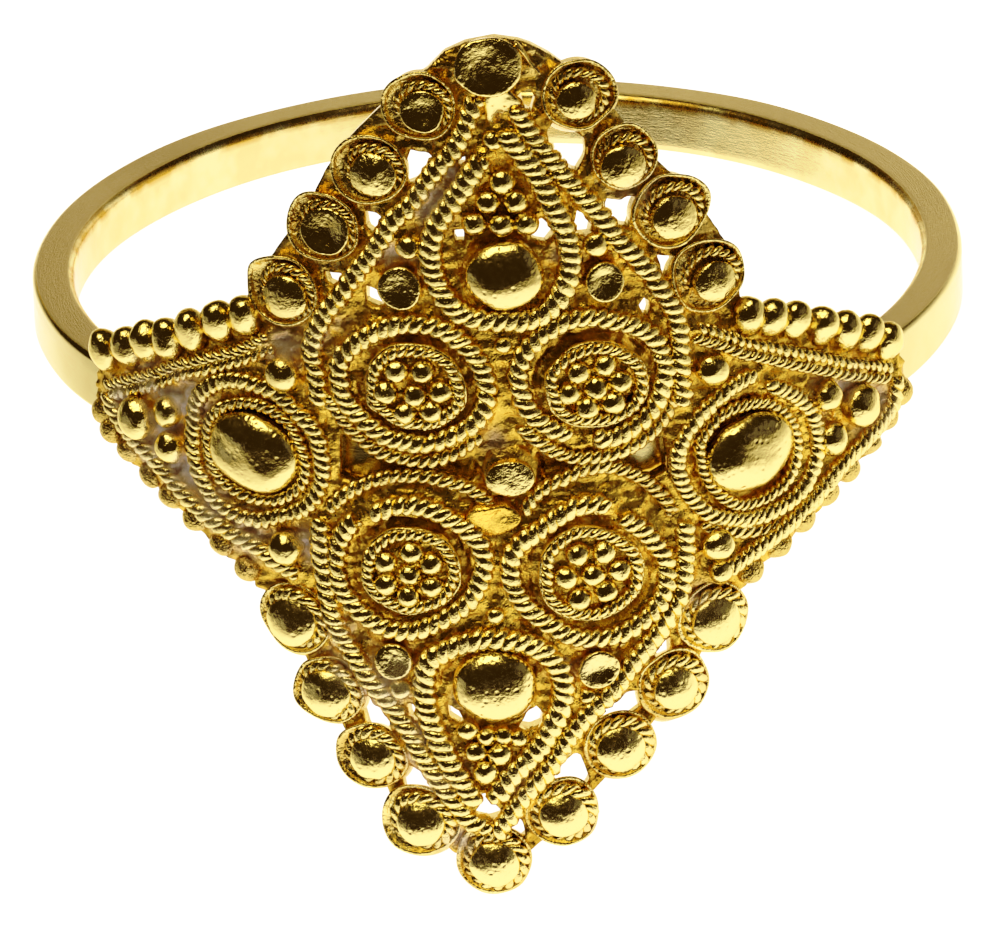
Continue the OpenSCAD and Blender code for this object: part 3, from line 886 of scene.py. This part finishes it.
bezel_piece("rosette_wires", joined([
    rope(path, *FRAME_WIRE, closed=corner == "upper_left", seed=51 + k)
    for k, (corner, path) in enumerate(ROSETTE_WIRES.items())
]), wire_gold)
bezel_piece("rosette_inner_rings", joined([
    wire(shrunk(path, -0.02), 0.055, lift=0.17, tall=1.7, seed=61 + k)
    for k, path in enumerate(ROSETTE_INNER.values())
]), wire_gold)
bezel_piece("rosette_inner_wires", joined([
    rope(shrunk(path, 0.09), *ROSETTE_INNER_WIRE, lift=0.22, closed=True, sides=7, steps=11, seed=65 + k)
    for k, path in enumerate(ROSETTE_INNER.values())
]), wire_gold)
bezel_piece("row_wires", joined([
    rope(path, *ROW_WIRE, lift=0.08, seed=71 + k) for k, path in enumerate(ROW_WIRES)
]), wire_gold)


# Granules and beads

# Beads in the rosettes, seven in each: arc, rise
ROSETTE_BEADS = [
    [-2.15, 2.3], [-1.6, 2.3], [-2.4, 1.8], [-1.8, 1.75], [-1.25, 1.85], [-2.0, 1.35], [-1.45, 1.4],
    [1.55, 2.15], [2.1, 2.25], [1.35, 1.7], [1.9, 1.75], [2.4, 1.85], [1.7, 1.35], [2.25, 1.4],
    [-2.55, -2.05], [-2.0, -1.8], [-1.6, -2.05], [-2.05, -2.3], [-2.55, -2.55], [-2.1, -2.8], [-1.6, -2.55],
    [1.4, -1.95], [1.95, -1.95], [1.15, -2.45], [1.7, -2.45], [2.25, -2.4], [1.4, -2.95], [1.95, -2.85],
]
# Beads inside and above the teardrops: arc, rise, radius
TRIANGLE_BEADS = [
    [-0.02, 7.4, 0.2], [-0.15, 7.1, 0.14], [-0.3, 8.6, 0.14], [0.15, 6.5, 0.25], [-0.15, 6.05, 0.24],
    [0.4, 6.05, 0.24], [-0.45, 5.6, 0.24], [0.1, 5.55, 0.24], [0.6, 5.55, 0.24], [-1.0, -5.85, 0.22],
    [-0.85, -6.35, 0.22], [-0.35, -6.4, 0.24], [-0.65, -6.8, 0.25], [-0.6, -6.0, 0.2],
    [-0.25, -6.0, 0.2], [0.05, -6.05, 0.2],
]
# Single beads in the corners between the wires: arc, rise, radius, stretch along the rise
CORNER_BEADS = [
    [-8.35, 0.2, 0.43, 1.15], [-7.5, 0.55, 0.33, 1.05], [-7.5, -0.25, 0.34, 1.1],
    [8.1, -0.1, 0.42, 1.15], [7.2, 0.4, 0.34, 1], [7.3, -0.6, 0.35, 1.1],
    [-4.6, 2.0, 0.36, 1.1], [-4.7, -1.95, 0.38, 1], [4.4, 1.75, 0.36, 1], [4.4, -2.2, 0.36, 1],
    [4.45, -2.85, 0.27, 1], [0.05, 2.85, 0.2, 1], [-0.35, -3.25, 0.22, 1],
    [-1.8, 5.05, 0.27, 1], [2.0, 4.95, 0.28, 1], [-2.35, -4.95, 0.25, 1], [1.5, -5.2, 0.2, 1],
]
# Flattened beads beside the teardrops: arc, rise, radius
FLAT_BEADS = [
    [-2.0, 4.15, 0.46], [2.15, 4.1, 0.42], [-2.45, -4.3, 0.4], [1.75, -4.6, 0.43],
]
# Beads in the rims of the side corners: arc, rise
EDGE_ROWS = {
    "upper_left": [
        [-9.4, 1.25], [-8.65, 1.55], [-8.05, 1.85], [-7.45, 2.05], [-6.8, 2.4], [-6.1, 2.75],
        [-5.45, 3.0],
    ],
    "upper_right": [
        [9.1, 0.85], [8.45, 1.25], [7.8, 1.55], [7.15, 1.85], [6.45, 2.2], [5.85, 2.4], [5.3, 2.6],
    ],
    "lower_left": [
        [-9.75, -0.15], [-9.5, -0.5], [-8.95, -0.8], [-8.3, -1.15], [-7.7, -1.5], [-7.05, -1.85],
        [-6.35, -2.25], [-5.75, -2.7],
    ],
    "lower_right": [
        [9.6, -0.35], [9.1, -0.75], [8.5, -1.1], [7.85, -1.5], [7.2, -1.85], [6.55, -2.25],
        [5.9, -2.65], [5.2, -3.05],
    ],
}

bezel_piece("rosette_granules", joined([
    turned(place, ball_profile(r=0.265, height=0.44), sides=22, uneven=0.012, size=0.4, seed=100 + 3 * k)
    for k, place in enumerate(ROSETTE_BEADS)
]), bead_gold)
bezel_piece("triangle_granules", joined([
    turned((arc, rise), ball_profile(r * 1.12, r * 1.85), sides=20, uneven=0.012, size=0.4,
           seed=200 + 3 * k)
    for k, (arc, rise, r) in enumerate(TRIANGLE_BEADS)
]), bead_gold)
bezel_piece("corner_granules", joined([
    turned((arc, rise), ball_profile(r, r * 1.5, steps=12), sides=28, stretch=(1, tall), uneven=0.015,
           size=0.5, seed=300 + 3 * k)
    for k, (arc, rise, r, tall) in enumerate(CORNER_BEADS)
]), bead_gold)


def edge_row(corner, wide, tall, height, lean, seed):
    """Row of beads sunk in the rim of a side corner."""
    return [
        turned((arc, rise, -0.3), egg_profile(1.0, height), sides=30, stretch=(wide, tall), lean=lean,
               uneven=0.018, size=0.7, seed=seed + 3 * k)
        for k, (arc, rise) in enumerate(EDGE_ROWS[corner])
    ]


bezel_piece("upper_edge_granules", joined(
    edge_row("upper_left", wide=0.37, tall=0.49, height=0.82, lean=0.3, seed=400)
    + edge_row("upper_right", wide=0.36, tall=0.45, height=0.82, lean=0.3, seed=430)), bead_gold)
# The lower rows take the darker rim tone as painted shade
bezel_piece("lower_edge_granules", joined(
    edge_row("lower_left", wide=0.33, tall=0.3, height=0.55, lean=0.0, seed=460)
    + edge_row("lower_right", wide=0.34, tall=0.32, height=0.62, lean=0.0, seed=490)), shaded_rim_gold)
bezel_piece("flat_granules", joined([
    turned((arc, rise), disc_profile(r, 0.36, dish=0.06, soft=0.07), sides=40, tilt=(-4, 0), uneven=0.015,
           size=1.1, seed=500 + 3 * k)
    for k, (arc, rise, r) in enumerate(FLAT_BEADS)
]), disc_gold)

# Profile of the foot under the centre bead: radius, lift
CENTRE_FOOT = [[0, -0.5], [0.72, -0.5], [0.74, -0.35], [0.68, -0.15], [0.6, 0.02], [0.5, 0.12], [0, 0.16]]

bezel_piece("centre_bead", turned(
    (0.08, -0.1), cap_profile(r=0.5, height=0.38, foot=-0.5, crown=0.05), sides=44, stretch=(1, 0.82),
    uneven=0.012, size=0.7, seed=530), cup_gold)
bezel_piece("centre_bead_foot", turned(
    (0.1, -0.05), CENTRE_FOOT, sides=36, uneven=0.05, size=0.7, seed=540), plate_gold)
bezel_piece("solder_drop", turned(
    (-0.28, -1.0), disc_profile(r=1.0, height=0.26, foot=-0.5, dish=-0.02, soft=0.16), sides=40,
    stretch=(0.58, 0.4), spin=-12, tilt=(20, 0), uneven=0.04, size=0.8, seed=550), plate_gold)


# Domes

# Arc, rise, half width, half height, spin and tilt in degrees
DOMES = {
    "top": [0.13, 4.42, 0.8, 0.75, 0, -9],
    "bottom": [-0.4, -4.82, 0.88, 0.8, 0, 0],
    "left": [-5.35, 0.12, 1.02, 0.87, -18, 0],
    "right": [5.2, -0.28, 1.02, 0.83, 20, 0],
}
for name, (arc, rise, wide, tall, spin, tilt) in DOMES.items():
    bezel_piece(name + "_dome", turned(
        (arc, rise), dome_profile(1.0, 0.66), sides=72, stretch=(wide, tall), spin=spin, tilt=(tilt, 0),
        uneven=0.02, size=0.9, seed=600 + len(name)), dome_gold)


# Cups

# Arc, rise and radius of the disc; shift of the collar along the arc and the rise; its radius; and the
# disc's tilt in degrees. The cups of the upper edges come first.
CUPS = [
    [-1.4, 8.05, 0.46, -0.08, 0.04, 0.78, -8], [-2.45, 6.65, 0.49, -0.12, 0.0, 0.79, -4],
    [-3.5, 5.3, 0.52, -0.1, 0.0, 0.78, -8], [-4.45, 3.75, 0.49, -0.1, 0.02, 0.82, 0],
    [1.7, 8.15, 0.41, 0.08, 0.05, 0.8, -6], [2.6, 6.6, 0.48, 0.05, 0.12, 0.72, -2],
    [3.65, 5.3, 0.49, -0.02, 0.07, 0.84, -2], [4.5, 3.7, 0.46, -0.12, 0.06, 0.84, -2],
    [-4.65, -3.65, 0.54, 0.0, 0.0, 0.8, -7], [-3.95, -5.2, 0.52, 0.0, 0.0, 0.78, -3],
    [-3.0, -6.6, 0.47, -0.06, 0.0, 0.78, -5], [-2.05, -8.05, 0.49, -0.03, 0.0, 0.82, -9],
    [4.3, -3.95, 0.52, 0.0, 0.0, 0.8, -3], [3.35, -5.3, 0.47, 0.02, 0.0, 0.8, -4],
    [2.15, -6.5, 0.5, 0.0, 0.0, 0.79, -3], [0.9, -7.9, 0.49, 0.0, 0.0, 0.8, -4],
    [-0.55, -8.95, 0.5, -0.02, 0.02, 0.8, -3],
]
UPPER_COUNT = 8
DISHED_CUPS = (0, 2)

# Height of a collar's rim, radius and ridges of its wire, and the wire's lift and worn height
UPPER_TRIM = {"rim": 0.22, "wire": (0.12, 0.19), "lift": 0.07, "worn": 0.75}
LOWER_TRIM = {"rim": 0.15, "wire": (0.16, 0.22), "lift": 0.08, "worn": 0.45}


def cup_trim(k):
    """Sizes of a cup's trim."""
    return UPPER_TRIM if k < UPPER_COUNT else LOWER_TRIM


def collar(k):
    """Collar of a cup, leaned up the rise."""
    arc, rise, _, east, north, r, _ = CUPS[k]
    profile = collar_profile(r, rim=cup_trim(k)["rim"], floor=0.06)
    return turned((arc + east, rise + north), profile, sides=60, lean=0.45, uneven=0.03, size=1.2,
                  seed=700 + 3 * k)


def cup_wire(k):
    """Twisted ring in a cup, halfway between its disc and its collar."""
    arc, rise, disc_r, east, north, r, _ = CUPS[k]
    trim = cup_trim(k)
    middle = (arc + 0.5 * east + 0.03, rise + 0.5 * north + 0.03)
    return rope(ring_path(middle, 0.42 * disc_r + 0.45 * r, climb=0.09), *trim["wire"], lift=trim["lift"],
                worn=trim["worn"], closed=True, sides=7, steps=11, seed=800 + 10 * k)


def cup_disc(k):
    """Flattened bead in a cup: dished, low or domed."""
    arc, rise, r, _, _, _, tilt = CUPS[k]
    if k in DISHED_CUPS:
        profile = disc_profile(r, 0.34, dish=0.1, soft=0.05)
    elif k < UPPER_COUNT:
        profile = cap_profile(r, 0.44, crown=0.14)
    else:
        profile = cap_profile(r * 1.04, 0.46, crown=0.19)
    return turned((arc, rise), profile, sides=48, stretch=(1.0, 0.97), tilt=(tilt, 0), uneven=0.012,
                  size=0.6, seed=900 + 3 * k)


bezel_piece("collars", joined([collar(k) for k in range(len(CUPS))]), cup_gold)
bezel_piece("cup_wires", joined([cup_wire(k) for k in range(len(CUPS))]), wire_gold)
bezel_piece("upper_cup_discs", joined([cup_disc(k) for k in range(UPPER_COUNT)]), disc_gold)
bezel_piece("lower_cup_discs", joined([cup_disc(k) for k in range(UPPER_COUNT, len(CUPS))]), cap_gold)


# Top tip

TIP_FOLD_PATH = [[0.52, 9.5], [0.66, 9.3], [0.82, 9.05], [1.0, 8.8]]

bezel_piece("top_tip_disc", turned(
    (-0.05, 9.02), disc_profile(r=0.69, height=0.36, foot=-0.2, dish=0.1, soft=0.09), sides=64,
    stretch=(1, 0.9), tilt=(-5, 5), uneven=0.025, size=0.8, seed=1010), disc_gold)
bezel_piece("top_tip_tongue", turned(
    (0.22, 8.14, -0.02), disc_profile(r=0.5, height=0.24, foot=-0.3, dish=-0.02, soft=0.12), sides=48,
    stretch=(0.8, 1.25), spin=22, tilt=(15, 4), uneven=0.05, size=0.7, seed=1020), dome_gold)
bezel_piece("top_tip_fold", wire(
    TIP_FOLD_PATH, 0.05, lift=0.1, closed=False, tall=2.0, seed=1030), dome_gold)


# Pierced plate, with its outline and its gaps as places (arc, rise)

OUTLINE = [
    [0.1, 9.55], [0.6, 9.45], [0.85, 9.35], [1.25, 9.1], [1.6, 8.8], [2.1, 8.4], [2.6, 7.7],
    [2.95, 7.15], [3.4, 6.55], [3.75, 6.15], [4.2, 5.6], [4.75, 4.7], [5.1, 3.9], [5.2, 3.1],
    [5.5, 2.8], [7.2, 2.05], [9.2, 1.1], [9.75, 0.3], [9.85, -0.2], [9.2, -0.95], [7.5, -1.9],
    [5.6, -3.0], [4.6, -3.9], [3.45, -5.5], [2.2, -6.8], [0.9, -8.2], [0.0, -8.9], [-0.6, -9.2],
    [-1.2, -8.9], [-2.15, -8.25], [-3.2, -6.8], [-4.1, -5.3], [-4.85, -3.8], [-5.7, -2.9], [-7.2, -1.9],
    [-9.2, -0.9], [-10.05, 0.0], [-9.9, 0.7], [-9.4, 1.35], [-7.4, 2.45], [-5.6, 3.3], [-5.2, 4.0],
    [-4.5, 5.0], [-3.85, 5.95], [-3.55, 6.55], [-3.2, 7.1], [-2.85, 7.5], [-2.35, 8.0], [-1.75, 8.6],
    [-1.35, 8.85], [-0.95, 9.25], [-0.5, 9.45],
]
GAPS = [
    [[-1.7, 7.15], [-1.25, 7.1], [-1.25, 6.75], [-1.6, 6.45], [-1.85, 6.35], [-1.85, 6.75]],
    [[-0.72, 7.02], [-0.58, 7.02], [-0.58, 6.8], [-0.72, 6.8]],
    [[0.6, 8.4], [0.8, 8.45], [0.9, 8.2], [0.8, 7.9], [0.55, 8.05], [0.5, 8.3]],
    [[1.25, 7.7], [1.6, 7.5], [1.9, 7.2], [1.9, 6.8], [1.7, 6.5], [1.45, 6.7], [1.15, 7.15], [1.1, 7.5]],
    [[2.25, 5.9], [2.6, 5.8], [2.95, 5.85], [2.9, 5.5], [2.75, 5.15], [2.4, 5.3], [2.25, 5.65]],
    [[-2.75, 5.75], [-2.35, 5.75], [-2.3, 5.4], [-2.5, 5.2], [-2.7, 5.35]],
    [[-0.87, 5.45], [-0.67, 5.4], [-0.67, 5.1], [-0.87, 5.1]],
    [[0.9, 5.6], [1.02, 5.5], [1.17, 5.2], [1.0, 5.0], [0.78, 5.05], [0.68, 5.15], [0.8, 5.35]],
    [[1.65, 5.72], [1.77, 5.65], [1.82, 5.5], [1.97, 5.35], [1.92, 5.1], [1.7, 5.1], [1.58, 5.4]],
    [[3.35, 4.42], [3.72, 4.37], [3.72, 4.05], [3.55, 3.9], [3.38, 4.05]],
    [[3.0, 3.57], [3.12, 3.5], [3.17, 3.25], [3.1, 3.05], [2.98, 3.2], [2.88, 3.4]],
    [[-2.75, 4.12], [-2.5, 3.97], [-2.28, 3.8], [-2.5, 3.6], [-2.78, 3.7]],
    [[-3.7, 4.32], [-3.22, 4.37], [-3.22, 4.1], [-3.45, 4.0], [-3.6, 4.05]],
    [[-3.97, -3.88], [-3.75, -3.93], [-3.62, -4.35], [-3.85, -4.25]],
    [[-3.12, -5.23], [-2.88, -5.43], [-2.63, -5.75], [-2.58, -6.0], [-2.95, -6.08], [-3.17, -6.0],
     [-3.27, -5.6]],
    [[-2.27, -5.28], [-2.1, -5.33], [-2.03, -5.55], [-2.03, -5.8], [-2.22, -5.7]],
    [[-1.42, -5.33], [-1.28, -5.38], [-1.08, -5.65], [-1.15, -5.8], [-1.38, -5.65]],
    [[0.45, -5.38], [0.57, -5.55], [0.52, -5.85], [0.3, -5.93], [0.05, -5.88], [0.22, -5.6]],
    [[-2.27, -6.78], [-2.03, -6.88], [-1.83, -7.15], [-1.63, -7.35], [-1.63, -7.65], [-1.95, -7.62],
     [-2.22, -7.57], [-2.42, -7.4], [-2.47, -7.0]],
    [[-0.8, -7.38], [-0.7, -7.33], [-0.53, -7.5], [-0.38, -7.7], [-0.43, -7.95], [-0.65, -8.02],
     [-0.92, -7.95], [-0.97, -7.8], [-0.8, -7.6]],
    [[0.0, -7.88], [0.07, -8.1], [0.12, -8.4], [-0.05, -8.55], [-0.32, -8.55], [-0.37, -8.35],
     [-0.25, -8.15]],
    [[1.2, -6.48], [1.32, -6.6], [1.42, -6.9], [1.52, -7.25], [1.35, -7.47], [1.0, -7.38], [0.73, -7.3],
     [0.73, -7.05], [0.95, -6.73]],
    [[2.65, -5.18], [2.72, -5.35], [2.72, -5.72], [2.4, -5.92], [2.1, -6.02], [1.78, -5.95],
     [1.73, -5.7], [2.05, -5.48], [2.35, -5.33]],
    [[2.52, -3.93], [2.47, -4.2], [2.25, -4.35], [2.23, -4.15]],
    [[3.37, -4.18], [3.37, -4.65], [3.1, -4.67], [2.93, -4.52], [3.13, -4.33]],
    [[-3.45, 0.75], [-2.9, 0.35], [-2.2, 0.1], [-1.5, 0.1], [-0.7, 0.3], [-0.45, 0.0], [-0.8, -0.35],
     [-1.6, -0.1], [-2.4, -0.1], [-3.1, -0.4], [-3.5, -0.3]],
    [[0.65, 0.4], [1.3, 0.1], [2.2, 0.0], [2.9, 0.2], [3.35, 0.55], [3.4, -0.4], [2.9, -0.6],
     [2.2, -0.2], [1.4, -0.2], [0.8, -0.4], [0.5, 0.0]],
]

# Size of the plate's cells, and the arc and the rise that their grid covers
CELL = 0.08
GRID_ARC = (-10.6, 10.4)
GRID_RISE = (-9.8, 10.1)
# A place is taken for the plate's back or a wall below this lift
BACK_TOP = -0.05
# How far outside the frame wires the smooth sheet starts, the rise above which there is any, and the rise
# above which it is all sheet
SHEET_MARGIN = 0.45
SHEET_FROM = 3.4
ALL_SHEET_FROM = 8.7


def edge_distance(places, loop):
    """Distance from places to a closed outline, negative inside it. A place is inside if the line from it
    along the arc crosses the outline an odd number of times."""
    a = np.asarray(loop, float)
    b = np.roll(a, -1, 0)
    ab = b - a
    ap = places[:, None] - a
    along = np.clip((ap * ab).sum(-1) / (ab * ab).sum(-1), 0, 1)
    gap = np.linalg.norm(ap - along[..., None] * ab, axis=-1).min(1)
    y = places[:, None, 1]
    crossing = ab[:, 0] * (y - a[:, 1]) / np.where(ab[:, 1] == 0, 1e-9, ab[:, 1]) + a[:, 0]
    crosses = ((a[:, 1] > y) != (b[:, 1] > y)) & (places[:, None, 0] < crossing)
    return np.where(crosses.sum(1) % 2 == 1, -gap, gap)


def plate_distance(places):
    """Negative where there is plate: inside the outline or under a cup, and outside every gap."""
    solid = edge_distance(places, OUTLINE)
    for arc, rise, _, east, north, r, _ in CUPS:
        solid = np.minimum(solid, np.linalg.norm(places - [arc + east, rise + north], axis=1) - 0.9 * r)
    for gap in GAPS:
        solid = np.maximum(solid, -edge_distance(places, gap))
    return solid


def nearest(places, targets, chunk=400):
    """Distance from each place to the nearest of many targets."""
    best = np.full(len(places), np.inf)
    for start in range(0, len(targets), chunk):
        d = np.linalg.norm(places[:, None] - targets[None, start:start + chunk], axis=-1)
        best = np.minimum(best, d.min(1))
    return best


def plate_cells():
    """Places and cells of a grid where there is plate, and the edges along its rim. The rim is drawn on to
    the outline of the plate and its gaps, twice by p - d grad d, where d is the distance to them."""
    arc, rise = np.meshgrid(np.arange(*GRID_ARC, CELL), np.arange(*GRID_RISE, CELL), indexing="ij")
    places = np.stack([arc.ravel(), rise.ravel()], -1)
    quads = grid_quads(*arc.shape, False, False)
    quads = quads[plate_distance(places[quads].mean(1)) < 0]
    used, quads = np.unique(quads, return_inverse=True)
    quads = quads.reshape(-1, 4)
    places = places[used]
    edges = np.stack([quads, np.roll(quads, -1, 1)], -1).reshape(-1, 2)
    key = np.sort(edges, 1)
    key = key[:, 0] * len(places) + key[:, 1]
    _, first, count = np.unique(key, return_index=True, return_counts=True)
    rim = edges[first[count == 1]]
    on_rim = np.unique(rim)
    probe = 0.01
    for _ in range(2):
        p = places[on_rim]
        d = plate_distance(p)
        beside = [plate_distance(p + shift) - d for shift in ([probe, 0], [0, probe])]
        places[on_rim] = p - np.clip(d, -CELL, CELL)[:, None] * np.stack(beside, -1) / probe
    return places, quads, rim


def solder_lift(places):
    """Height of the plate's face: solder drawn up along the wires by 0.2 exp(-(d / 0.38)^2), where d is the
    distance to the nearest, a raised floor with a groove round it in each rosette, solder round the beads
    by 0.12 exp(-(d / r)^4), and two ripples."""
    thick = [FRAME_TOP_LEFT, FRAME_TOP_RIGHT, FRAME_BOTTOM, FRAME_RIGHT, TEAR_TOP, TEAR_BOTTOM,
             MEDALLION_LEFT, MEDALLION_RIGHT, *ROSETTE_WIRES.values(), *SIDE_WIRES.values()]
    to_wire = nearest(places, np.concatenate([smooth_path(p, False, 6) for p in thick]))
    lift = 0.2 * np.exp(-(to_wire / 0.38) ** 2)
    for ring in ROSETTE_INNER.values():
        inside = np.clip(-edge_distance(places, ring) / 0.1, 0, 1)
        to_groove = nearest(places, smooth_path(shrunk(ring, -0.17), True, 8))
        lift = lift * (1 - inside) + 0.12 * inside - 0.1 * np.exp(-(to_groove / 0.07) ** 2)
    for beads, r in ((ROSETTE_BEADS, 0.27), (TRIANGLE_BEADS, 0.26), (CORNER_BEADS, 0.34)):
        lift += 0.12 * np.exp(-(nearest(places, np.array([b[:2] for b in beads])) / r) ** 4)
    lift += ripple(places, amount=0.03, size=0.5, seed=1200)
    lift += ripple(places, amount=0.035, size=0.3, seed=1201)
    return lift


def bezel_plate():
    """Pierced plate: its cells under the solder, closed by a plain back and side walls."""
    places, quads, rim = plate_cells()
    front = np.concatenate([places, solder_lift(places)[:, None]], 1)
    back = np.concatenate([places, np.full((len(places), 1), -PLATE_T)], 1)
    n = len(places)
    walls = np.stack([rim[:, 1], rim[:, 0], rim[:, 0] + n, rim[:, 1] + n], -1)
    return outward(np.concatenate([front, back]), np.concatenate([quads, quads[:, ::-1] + n, walls]))


def beyond_frame(places):
    """Whether places lie outside the frame wires of the upper half, where the plate is a smooth sheet."""
    arc, rise = places[:, 0], places[:, 1]
    left, right = np.array(FRAME_TOP_LEFT), np.array(FRAME_TOP_RIGHT)[::-1]
    left_edge = np.interp(rise, left[:, 1], left[:, 0]) - SHEET_MARGIN
    right_edge = np.interp(rise, right[:, 1], right[:, 0]) + SHEET_MARGIN
    return (rise > SHEET_FROM) & ((arc < left_edge) | (arc > right_edge) | (rise > ALL_SHEET_FROM))


plate_shape = bezel_plate()
plate = bezel_piece("bezel_plate", plate_shape, plate_gold)
plate.data.materials.append(sheet_gold)
cells = plate_shape[0][plate_shape[1]].mean(1)
on_sheet = beyond_frame(cells) | (cells[:, 2] < BACK_TOP)
plate.data.polygons.foreach_set("material_index", on_sheet.astype(np.int32))


# Camera

# Degrees above the plane of the shank and of roll, and millimetres from the middle of the finger hole
CAMERA_RISE = 22.55
CAMERA_ROLL = -2.25
CAMERA_AWAY = 250.0
# Size of the picture, pixels in a millimetre of the ring, and the pixel where the hole's middle falls
FRAME_W = 1000
FRAME_H = 943
PIXELS_PER_MM = 46.45
BORE_CENTRE = (498.3, 276.4)


def place_camera():
    """Camera that sees the ring as the photograph does, wherever the ring lies."""
    focal = PIXELS_PER_MM * CAMERA_AWAY
    rise = np.radians(CAMERA_RISE)
    roll = np.radians(CAMERA_ROLL)
    back = np.array([0, -np.cos(rise), np.sin(rise)])
    level_right = np.array([1.0, 0, 0])
    level_up = np.array([0, np.sin(rise), np.cos(rise)])
    right = np.cos(roll) * level_right + np.sin(roll) * level_up
    up = -np.sin(roll) * level_right + np.cos(roll) * level_up
    to_right = (FRAME_W / 2 - BORE_CENTRE[0]) / focal
    downwards = (FRAME_H / 2 - BORE_CENTRE[1]) / focal
    z_axis = back - right * to_right + up * downwards
    z_axis /= np.linalg.norm(z_axis)
    x_axis = np.cross(up, z_axis)
    x_axis /= np.linalg.norm(x_axis)
    y_axis = np.cross(z_axis, x_axis)
    lens = bpy.data.cameras.new("camera")
    lens.sensor_width = 36.0
    lens.lens = focal / FRAME_W * lens.sensor_width
    lens.clip_start = 0.01
    lens.clip_end = 10.0
    camera = added("camera", lens)
    axes = np.stack([LIE @ v for v in (x_axis, y_axis, z_axis)], -1)
    spot = LIE @ (back * CAMERA_AWAY) * MM
    placed(camera, axes, spot)
    bpy.context.scene.camera = camera


place_camera()


# Floor and lights, in metres

FLOOR_TONE = (0.7, 0.7, 0.7, 1)
WHITE = (1.0, 1.0, 1.0, 1)
FLOOR_MIDDLE_R = 0.001
FLOOR_REACH = 0.199
FLOOR_GLOW = 1.8
# The glow's edge: its distance from the middle, and how soft it is
GLOW_R = 0.056
GLOW_SOFT = 0.008
# To the right and the left of the ring it is weaker: where that starts, by how much, and how softly
RIGHT_DIM = (0.0178, 0.8)
LEFT_DIM = (0.0208, 0.5)
DIM_SOFT = 0.0022

# Name, place, width and height, watts, colour
LIGHTS = [
    ("top_box", (0.02, 0.03, 0.42), (0.3, 0.26), 1.15, (1, 0.87, 0.5)),
    ("left_box", (-0.42, -0.1, 0.06), (0.25, 0.1), 0.03, (1, 1, 1)),
    ("right_wall", (0.36, -0.12, 0.13), (0.34, 0.16), 0.02, (1, 1, 1)),
    ("back_card", (0.05, 0.42, 0.04), (0.5, 0.12), 0.095, (1, 0.72, 0.22)),
]
LIT_SPOT = (0, -0.004, 0.003)
STUDIO_GLOW = (0.031, 0.0175, 0.005, 1)


def fade(value, edge, soft):
    """From 1 below an edge to 0 above it: 1 / (1 + exp((value - edge) / soft))."""
    return 1 / (1 + np.exp((value - edge) / soft))


def floor():
    """Small round white plate under the ring that glows like a light table and dims towards its edge. Its
    rings lie closer together near the middle, at t^1.6 of its reach."""
    rings, sides = 160, 180
    r = (FLOOR_MIDDLE_R + FLOOR_REACH * np.linspace(0, 1, rings) ** 1.6)[:, None]
    a = all_round(sides)
    z = float(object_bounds()[0][2]) - 0.00001
    points = np.stack([r * np.cos(a), r * np.sin(a), z + 0 * r * a], -1).reshape(-1, 3)
    mesh = bpy.data.meshes.new("floor")
    quads = grid_quads(rings, sides, False, True)[:, ::-1]
    mesh.from_pydata(points.tolist(), [], quads.tolist() + [list(range(sides))])
    mesh.update()
    near = fade(np.linalg.norm(points[:, :2], axis=1), GLOW_R, GLOW_SOFT)
    for side, (start, loss) in ((1, RIGHT_DIM), (-1, LEFT_DIM)):
        near *= 1 - loss * fade(-side * points[:, 0], -start, DIM_SOFT)
    glow = mesh.attributes.new("glow", "FLOAT", "POINT")
    glow.data.foreach_set("value", (FLOOR_GLOW * near).astype(np.float32))
    made = added("floor", mesh)
    material = bpy.data.materials.new("pale_table")
    material.use_nodes = True
    tree = material.node_tree
    shader = tree.nodes["Principled BSDF"]
    shader.inputs["Base Color"].default_value = FLOOR_TONE
    shader.inputs["Roughness"].default_value = 0.9
    shader.inputs["Emission Color"].default_value = WHITE
    tree.links.new(mark(tree, "glow"), shader.inputs["Emission Strength"])
    mesh.materials.append(material)
    made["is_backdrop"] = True


def softbox(name, where, size, watts, colour):
    """Flat light that faces the lit spot."""
    light = bpy.data.lights.new(name, "AREA")
    light.shape = "RECTANGLE"
    light.size, light.size_y = size
    light.energy = watts
    light.color = colour
    z = np.subtract(where, LIT_SPOT)
    z /= np.linalg.norm(z)
    x = np.cross([0, 0, 1] if abs(z[2]) < 0.99 else [0, 1, 0], z)
    x /= np.linalg.norm(x)
    y = np.cross(z, x)
    placed(added(name, light), np.stack([x, y, z], -1), where)


def studio():
    """Faint warm light from all sides."""
    world = bpy.data.worlds.new("studio")
    bpy.context.scene.world = world
    world.use_nodes = True
    glow = world.node_tree.nodes["Background"]
    glow.inputs["Color"].default_value = STUDIO_GLOW
    glow.inputs["Strength"].default_value = 1.0


floor()
for light in LIGHTS:
    softbox(*light)
studio()


# Tone of the picture: its white level, and how bright light of each strength is shown

WHITE_LEVEL = 1.7
TONE_CURVE = ((0.026, 0.036), (0.07, 0.127), (0.147, 0.253), (0.29, 0.455), (0.5, 0.67), (0.7, 0.84))


def develop():
    """Tone curve of the picture, in the colour settings."""
    film = bpy.context.scene.view_settings
    film.view_transform = "Standard"
    film.use_curve_mapping = True
    film.curve_mapping.white_level = (WHITE_LEVEL, WHITE_LEVEL, WHITE_LEVEL)
    for strength, shown in TONE_CURVE:
        film.curve_mapping.curves[3].points.new(strength, shown)
    film.curve_mapping.update()


develop()
